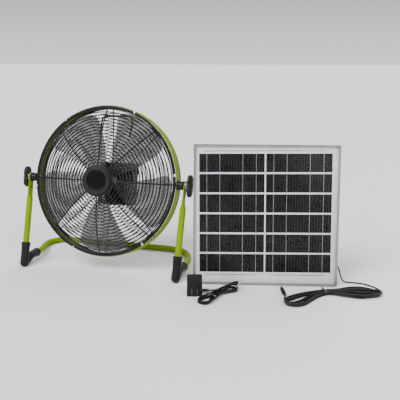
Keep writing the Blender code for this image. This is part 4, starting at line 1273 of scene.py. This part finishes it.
LEAD_R = 1.75
ADAPTER_CORD = ((299.6, -115.4, 7), (306.4, -113.5, 7), (312, -112, 6.8), (318, -111, 5.6),
                (323.4, -111, 4.3))
ADAPTER_TAIL = ((331, -112, 14.3), (337, -104, 14.6), (344, -96, 15.6), (350.6, -89.2, 16.9))
ADAPTER_PLUG = ((350.8, -89.0, 17.0), (375, -68, 17.2))
ADAPTER_SPINE = ((306, -182, 5), (313, -158, 15), (323, -136, 12), (334, -113, 8), (349, -93, 11),
                 (366, -75, 6))
PANEL_LEAD = (
    (561.2, 22.6, 58.8), (568, 24.1, 58.8), (578, 26.1, 58.2), (588, 27.9, 54.6), (596, 29.3, 46.0),
    (601, 29.5, 34.0), (603, 28.5, 22.0), (606, 26.5, 10.0), (611, 27.0, 3.6), (620, 31.5, 2.2),
    (634, 37.5, 2.0), (650, 38.5, 2.0), (667, 33.5, 2.0), (682, 23.5, 2.0), (694, 10.5, 2.0), (700, 0, 2.0),
    (702, -10.5, 2.0),
)
LEAD_SPINE = (
    (483, -132.5, 10), (505, -121, 24), (521, -95, 22.5), (549, -62, 14), (582, -40, 8),
    (616, -36, 22), (641, -28, 31), (665, -24, 29), (686, -26, 14), (699, -21, 5),
)
LEAD_TAIL = ((484.6, -115.8, 5), (483.2, -110, 5), (483.6, -102, 5), (484.3, -97, 5), (483.1, -92.35, 5))
LEAD_PLUG = ((483, -92, 5), (467.5, -43, 5))


def hank_line(spine, turns, hollow, first, last, columns, layers, seed, full):
    """The cord's line through a hank. At phase p the place along the spine is (1 - cos p) / 2 and the
    offset to its side is h sqrt(1 - (1 - e / h)^2), a half circle at each end, where e is the way to the
    nearer end, at most h. The half width h is W (f + (1 - f) c): W is the hank's own there, f how hollow it
    is and c the turn's column; near an end h is at least a fold's radius. Turns are stacked in layers, and
    wander a little."""
    line = spline([(x, y, w) for x, y, w in spine], 1.5)
    way = np.gradient(line[:, :2], axis=0)
    way /= np.linalg.norm(way, axis=1)[:, None]
    phase = np.linspace(first, last, int((last - first) / (2 * math.pi) * 44))
    turn = phase / (2 * math.pi)
    draws = np.random.default_rng(seed)
    order = draws.permutation(columns * layers)[: turns + 2]
    whole = np.floor(turn + 0.04).astype(int)
    ease = np.clip((turn + 0.04 - whole) / 0.12, 0, 1)
    ease = ease * ease * (3 - 2 * ease)
    column, layer = order // layers, order % layers

    def eased(values):
        values = np.asarray(values, float)
        now = values[np.clip(whole, 0, len(values) - 1)]
        before = values[np.clip(whole - 1, 0, len(values) - 1)]
        return before + (now - before) * ease

    reach = eased(draws.uniform(0.0, 0.045, len(order)))
    share = reach + (1 - 2 * reach) * (1 - np.cos(phase)) / 2
    at = share * (len(line) - 1)
    spot = np.column_stack([np.interp(at, np.arange(len(line)), line[:, k]) for k in range(3)])
    tangent = np.column_stack([np.interp(at, np.arange(len(line)), way[:, k]) for k in range(2)])
    side = np.column_stack([-tangent[:, 1], tangent[:, 0]])
    across = (eased(column) + 0.5) / columns
    open_share = np.interp(share, *np.array(hollow).T)
    wander = 0.7 * np.sin(phase * 1.37 + eased(draws.uniform(0, 6, len(order))))
    wide = spot[:, 2] * full + 7 * np.exp(-share / 0.05) - LEAD_R
    half = wide * (open_share + (1 - open_share) * across)
    from_end = (1 - np.abs(np.cos(phase))) / 2 * (1 - 2 * reach) * (len(line) - 1) * 1.5
    near = np.clip(1 - from_end / 40, 0, 1)
    near = near * near * (3 - 2 * near)
    half = half + (np.maximum(half, 13.0 + 2.0 * columns * across) - half) * near
    fold = np.sqrt(1 - (1 - np.minimum(from_end / half, 1)) ** 2)
    offset = half * fold * np.sign(np.sin(phase)) + wander * (1 - near)
    height = LEAD_R + 0.1 + eased(layer) * LEAD_R * 1.85 + 0.5 + 0.4 * np.sin(phase * 2.1 + 1.0)
    return np.column_stack([spot[:, :2] + side * offset[:, None], np.clip(height, LEAD_R + 0.05, 10.2)])


def smooth_line(points, times=2):
    """The line with each inner point moved halfway to its neighbours' middle, a few times over."""
    points = points.copy()
    for _ in range(times):
        points[1:-1] = 0.5 * points[1:-1] + 0.25 * (points[:-2] + points[2:])
    return points


def to_kit(points):
    return (np.asarray(points) * MM) @ STAND[:3, :3].T + STAND[:3, 3]


def lay_cord(name, route, hank, tail, replaces):
    """One cord from its exit, through its hank, to its plug, as one swept line."""
    joined = np.vstack([route, hank, tail])
    path = spline(smooth_line(joined, 2), 2.6)
    path[:, 2] = np.maximum(path[:, 2], LEAD_R + 0.02)
    item = build(sweep(Shape(), path, LEAD_R, 10), name, STAND, "cable", "base", replaces)
    return item, path


def plug_pieces(name, ends, node):
    """A moulded plug along its own axis: ribbed grip and shoulder, and a bare barrel."""
    rear, front = np.array(ends[0], float), np.array(ends[1], float)
    long = np.linalg.norm(front - rear)
    way = (front - rear) / long
    across = np.cross(way, (0, 0, 1.0))
    across /= np.linalg.norm(across)
    place = STAND.copy()
    place[:3, :3] = STAND[:3, :3] @ np.column_stack([across, way, np.cross(across, way)])
    place[:3, 3] = to_kit(rear)
    run = np.linspace(0, 11, 30)
    boot = 2.3 + 2.2 * (run / 11) ** 1.2 - 0.35 * (np.cos(run * 2 * math.pi / 2.7) > 0.3) * (run > 1)
    grip = np.vstack([[(1.7, 0.0)], np.column_stack([boot, run]),
                      [(4.7, 11.6), (4.7, long - 12.5), (4.1, long - 11.4), (4.1, long - 9.6),
                       (2.4, long - 9.5), (1.7, long - 9.5)]])
    grip_item = build(lathe(Shape(), grip, 36), name + "_grip", place, "soft_grip", "base", node,
                      "black_cable", smooth=25)
    barrel = fillet([(1.2, long - 9.6), (2.7, long - 9.6), (2.7, long - 0.8), (2.3, long), (1.2, long),
                     (1.2, long - 5)], 0.25, True)
    barrel_item = build(lathe(Shape(), barrel, 32), name + "_barrel", place, "steel", "base")
    return [grip_item, barrel_item]


def tie_piece(name, spine, share, thick):
    """A twist tie: a flat band once round the bundle, and its two ends twisted together on top."""
    line = spline([(x, y, w) for x, y, w in spine], 1.5)
    k = int(share * (len(line) - 1))
    way = line[k + 2, :2] - line[k - 2, :2]
    way /= np.linalg.norm(way)
    side = np.array((-way[1], way[0]))
    middle = np.array((line[k, 0], line[k, 1]))
    turn = np.linspace(0, 2 * math.pi, 48, endpoint=False)
    wide = line[k, 2] + 0.9
    across = np.sign(np.cos(turn)) * np.abs(np.cos(turn)) ** 0.7 * wide
    height = thick / 2 + np.sign(np.sin(turn)) * np.abs(np.sin(turn)) ** 0.7 * (thick / 2 + 0.1)
    loop = np.column_stack([middle + side * across[:, None], np.maximum(height, 0.55)])
    shape = Shape()
    for offset in (-1.1, 0, 1.1):
        path = loop + np.array((*way * offset, 0))
        sweep(shape, path, 0.62, 8, closed=True)
    run = np.linspace(0, 1, 60)
    for phase in (0, math.pi):
        spin = run * 6 * math.pi + phase
        base = middle + side * (wide * 0.3 + 13 * run)[:, None] + way * (3 * run**2)[:, None]
        twist = np.column_stack([base + way * (0.75 * np.cos(spin))[:, None],
                                 thick + 1.0 - 3.5 * run**2 + 0.75 * np.sin(spin)])
        sweep(shape, twist, 0.6, 8)
    return build(shape, name, STAND, "tie", "base")


def declare_cord(item, path, exit_point, far, stiffness, pieces):
    """Tells the frame that a piece is a free cord, with its measured length."""
    kit = to_kit(path)
    length = float(np.linalg.norm(np.diff(kit, axis=0), axis=1).sum())
    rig.cord(item, exit=tuple(to_kit(exit_point)), length=round(length, 3), diameter=2 * LEAD_R * MM,
            far_end=far,
            stiffness=stiffness, lay="coiled", path=kit.tolist(), with_pieces=pieces)


def make_adapter_lead():
    """The adapter's lead: out of the boot, five turns of hank, and up to the plug that lies on it."""
    hank = hank_line(ADAPTER_SPINE, 5, ((0, 0.1), (0.3, 0.15), (0.6, 0.05), (1, 0.1)), math.pi * 0.62,
                     2 * math.pi * 5 + math.pi * 0.34, 3, 3, 7, 1.4)
    item, path = lay_cord("adapter_lead", ADAPTER_CORD[:4], hank, ADAPTER_TAIL,
                          ("adapter_cord", "adapter_hank", "adapter_tail"))
    pieces = plug_pieces("adapter_dc_plug", ADAPTER_PLUG, "adapter_plug")
    pieces.append(tie_piece("adapter_tie", ADAPTER_SPINE, 0.36, 10.5))
    pieces.append(bpy.data.objects["adapter_boot"])
    declare_cord(item, path, ADAPTER_CORD[0], "plug", "medium", pieces)


def make_panel_lead():
    """The panel's lead: down from the gland, round the panel's side, ten turns of hank, and the plug."""
    hank = hank_line(LEAD_SPINE, 10, ((0, 0.3), (0.25, 0.36), (0.45, 0.0), (0.7, 0.05), (1, 0.05)),
                     math.pi * 1.02,
                     2 * math.pi * 10 - math.pi * 0.04, 4, 3, 3, 1.18)
    item, path = lay_cord("panel_cable", PANEL_LEAD, hank, LEAD_TAIL,
                          ("panel_lead", "lead_hank", "lead_tail"))
    pieces = plug_pieces("panel_dc_plug", LEAD_PLUG, "lead_plug")
    pieces.append(tie_piece("panel_cable_tie", LEAD_SPINE, 0.47, 11.5))
    pieces.append(bpy.data.objects["lead_gland"])
    declare_cord(item, path, PANEL_LEAD[0], "plug", "medium", pieces)


# Stage


def aim(item, target):
    """Turns a lamp so that it points at the target."""
    way = Vector(target) - item.location
    item.rotation_euler = way.to_track_quat("-Z", "Y").to_euler()


def make_surround(strength):
    """A pale sky with a bright band along the horizon, whose brightness falls evenly with the height."""
    world = bpy.data.worlds.new("pale_surround")
    world.use_nodes = True
    tree = world.node_tree
    place = tree.nodes.new("ShaderNodeTexCoord")
    parts = tree.nodes.new("ShaderNodeSeparateXYZ")
    band = tree.nodes.new("ShaderNodeMapRange")
    band.inputs["From Min"].default_value = 0.0
    band.inputs["From Max"].default_value = 0.16
    band.inputs["To Min"].default_value = strength * 2.4
    band.inputs["To Max"].default_value = strength
    tree.links.new(place.outputs["Generated"], parts.inputs[0])
    tree.links.new(parts.outputs[2], band.inputs["Value"])
    tree.links.new(band.outputs[0], tree.nodes["Background"].inputs["Strength"])
    tree.nodes["Background"].inputs["Color"].default_value = (1, 1, 1, 1)
    return world


def make_stage():
    """A pale floor, a pale surround, three soft lights and the camera."""
    scene = bpy.context.scene
    props = scene.fan_kit_stage
    bm = bmesh.new()
    bmesh.ops.create_grid(bm, x_segments=1, y_segments=1, size=80)
    mesh = bpy.data.meshes.new("floor")
    bm.to_mesh(mesh)
    bm.free()
    mesh.materials.append(look("floor"))
    floor = bpy.data.objects.new("floor", mesh)
    floor.location.z = -0.0003
    scene.collection.objects.link(floor)
    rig.stage(floor)
    scene.world = make_surround(props.surround)
    suns = (
        ("key_light", (-0.55, -0.9, 1.15), 34, props.key),
        ("fill_light", (1.0, -0.75, 0.75), 50, props.key * 0.42),
        ("back_light", (0.25, 1.0, 1.3), 40, props.key * 0.4),
    )
    for name, place, spread, power in suns:
        data = bpy.data.lights.new(name, "SUN")
        data.energy = power
        data.angle = math.radians(spread)
        lamp = bpy.data.objects.new(name, data)
        lamp.location = place
        scene.collection.objects.link(lamp)
        aim(lamp, (0, 0, 0))
    data = bpy.data.cameras.new("camera")
    data.lens = props.lens
    data.sensor_width = 36
    camera = bpy.data.objects.new("camera", data)
    camera.location = STAND[:3, 3] + np.array((604.6, -1286.3, 531.4)) * MM
    camera.rotation_euler = (math.radians(90 - 14.15), 0, math.radians(15.24))
    scene.collection.objects.link(camera)
    scene.camera = camera


# Settings, operators and the panel


class FanKitColours(bpy.types.PropertyGroup):
    """The colours that a user would change."""

    lime: bpy.props.FloatVectorProperty(
        name="Lime", description="Enamel of the drum, legs and rear tube", subtype="COLOR", size=3,
        default=(0.185, 0.27, 0.0), min=0, max=1,
    )
    smoke: bpy.props.FloatVectorProperty(
        name="Smoke", description="Tint of the blades", subtype="COLOR", size=3,
        default=(0.072, 0.07, 0.067), min=0, max=1,
    )


def length(name, description, default_mm):
    """A length that a user may change, shown in the scene's own unit."""
    return bpy.props.FloatProperty(
        name=name, description=description, default=default_mm * MM, min=0, unit="LENGTH", precision=4,
    )


class FanKitSizes(bpy.types.PropertyGroup):
    """The sizes that a user would change."""

    front_wire: length("Front wire", "Radius of the front guard's rings", 1.5)
    rear_wire: length("Rear wire", "Radius of the rear guard's rings", 1.3)
    front_pitch: length("Front pitch", "From ring to ring of the front guard", 8.2)
    rear_pitch: length("Rear pitch", "From ring to ring of the rear guard", 8.35)
    blade_reach: length("Blade reach", "From the rotor's axis to the blades' tips", 184)
    knob_wing: length("Knob wing", "How far a clamp knob's wings stand out from its waist", 17.5)


class FanKitStage(bpy.types.PropertyGroup):
    """Light and lens of the stage."""

    key: bpy.props.FloatProperty(name="Key light", description="Strength of the key light", default=3.4,
                                 min=0)
    surround: bpy.props.FloatProperty(name="Surround", description="Brightness of the surround",
                                      default=0.45, min=0)
    lens: bpy.props.FloatProperty(name="Lens", description="Focal length in millimetres", default=49.65,
                                  min=1)


class FANKIT_OT_stage(bpy.types.Operator):
    """Lay the floor, hang the lights and stand the camera"""

    bl_idname = "fankit.stage"
    bl_label = "Stage"

    def execute(self, context):
        make_stage()
        return {"FINISHED"}


class FANKIT_OT_adapter(bpy.types.Operator):
    """Build the plug-in adapter, its pins and its cord boot"""

    bl_idname = "fankit.adapter"
    bl_label = "Adapter"

    def execute(self, context):
        make_adapter()
        return {"FINISHED"}


class FANKIT_OT_junction(bpy.types.Operator):
    """Build the panel's junction box and gland"""

    bl_idname = "fankit.junction"
    bl_label = "Junction Box"

    def execute(self, context):
        make_junction()
        return {"FINISHED"}


class FANKIT_OT_leads(bpy.types.Operator):
    """Lay both leads, with their hanks, ties and plugs"""

    bl_idname = "fankit.leads"
    bl_label = "Leads"

    def execute(self, context):
        make_adapter_lead()
        make_panel_lead()
        return {"FINISHED"}


class FANKIT_OT_stand(bpy.types.Operator):
    """Build the legs, feet and rear tube"""

    bl_idname = "fankit.stand"
    bl_label = "Stand"

    def execute(self, context):
        make_rear_tube()
        for word, side in (("left", -1), ("right", 1)):
            make_leg(word, side)
            make_foot(word, side)
        return {"FINISHED"}


class FANKIT_OT_pivots(bpy.types.Operator):
    """Build the tilt bosses, washers, bolts and clamp knobs"""

    bl_idname = "fankit.pivots"
    bl_label = "Tilt Pivots"

    def execute(self, context):
        for word, side in (("left", -1), ("right", 1)):
            make_pivot(word, side)
        return {"FINISHED"}


class FANKIT_OT_drum(bpy.types.Operator):
    """Build the drum, both wire guards, the centre plate and the handle"""

    bl_idname = "fankit.drum"
    bl_label = "Drum and Guards"

    def execute(self, context):
        make_drum()
        make_guards()
        make_guard_screws()
        make_centre_plate()
        make_handle()
        return {"FINISHED"}


class FANKIT_OT_rotor(bpy.types.Operator):
    """Build the motor, its shaft and the blades"""

    bl_idname = "fankit.rotor"
    bl_label = "Motor and Blades"

    def execute(self, context):
        make_motor()
        make_blades()
        return {"FINISHED"}


class FANKIT_OT_controls(bpy.types.Operator):
    """Build the battery case and its controls"""

    bl_idname = "fankit.controls"
    bl_label = "Battery Case and Controls"

    def execute(self, context):
        make_control_box()
        return {"FINISHED"}


class FANKIT_OT_solar_panel(bpy.types.Operator):
    """Build the panel's rails, glass and laminate"""

    bl_idname = "fankit.solar_panel"
    bl_label = "Solar Panel"

    def execute(self, context):
        make_panel_frame()
        make_panel_layers()
        return {"FINISHED"}


class FANKIT_OT_prop(bpy.types.Operator):
    """Build the folding prop and its brackets"""

    bl_idname = "fankit.prop"
    bl_label = "Folding Prop"

    def execute(self, context):
        make_prop()
        return {"FINISHED"}


OPERATORS = (
    FANKIT_OT_stage, FANKIT_OT_adapter, FANKIT_OT_junction, FANKIT_OT_leads, FANKIT_OT_stand, FANKIT_OT_pivots,
    FANKIT_OT_drum, FANKIT_OT_rotor, FANKIT_OT_controls, FANKIT_OT_solar_panel, FANKIT_OT_prop,
)


class FANKIT_PT_sidebar(bpy.types.Panel):
    bl_label = "Solar Fan Kit"
    bl_idname = "FANKIT_PT_sidebar"
    bl_space_type = "VIEW_3D"
    bl_region_type = "UI"
    bl_category = "Solar Fan"

    def draw(self, context):
        scene = context.scene
        for group in (scene.fan_kit_colours, scene.fan_kit_sizes, scene.fan_kit_stage):
            for name in type(group).__annotations__:
                self.layout.prop(group, name)
        for operator in OPERATORS:
            self.layout.operator(operator.bl_idname)


CLASSES = (FanKitColours, FanKitSizes, FanKitStage, *OPERATORS, FANKIT_PT_sidebar)


def register():
    for item in CLASSES:
        bpy.utils.register_class(item)
    bpy.types.Scene.fan_kit_colours = bpy.props.PointerProperty(type=FanKitColours)
    bpy.types.Scene.fan_kit_sizes = bpy.props.PointerProperty(type=FanKitSizes)
    bpy.types.Scene.fan_kit_stage = bpy.props.PointerProperty(type=FanKitStage)


def unregister():
    del bpy.types.Scene.fan_kit_stage
    del bpy.types.Scene.fan_kit_sizes
    del bpy.types.Scene.fan_kit_colours
    for item in reversed(CLASSES):
        bpy.utils.unregister_class(item)


def main():
    """Builds the whole kit, one operator after another, and writes its size."""
    register()
    for operator in OPERATORS:
        getattr(bpy.ops.fankit, operator.bl_idname.split(".")[1])()
    sizes = {"cad": CAD_BOX, "visual": [list(corner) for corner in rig.bounds()]}
    with open("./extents.json", "w") as out:
        json.dump(sizes, out)


if __name__ == "__main__":
    main()
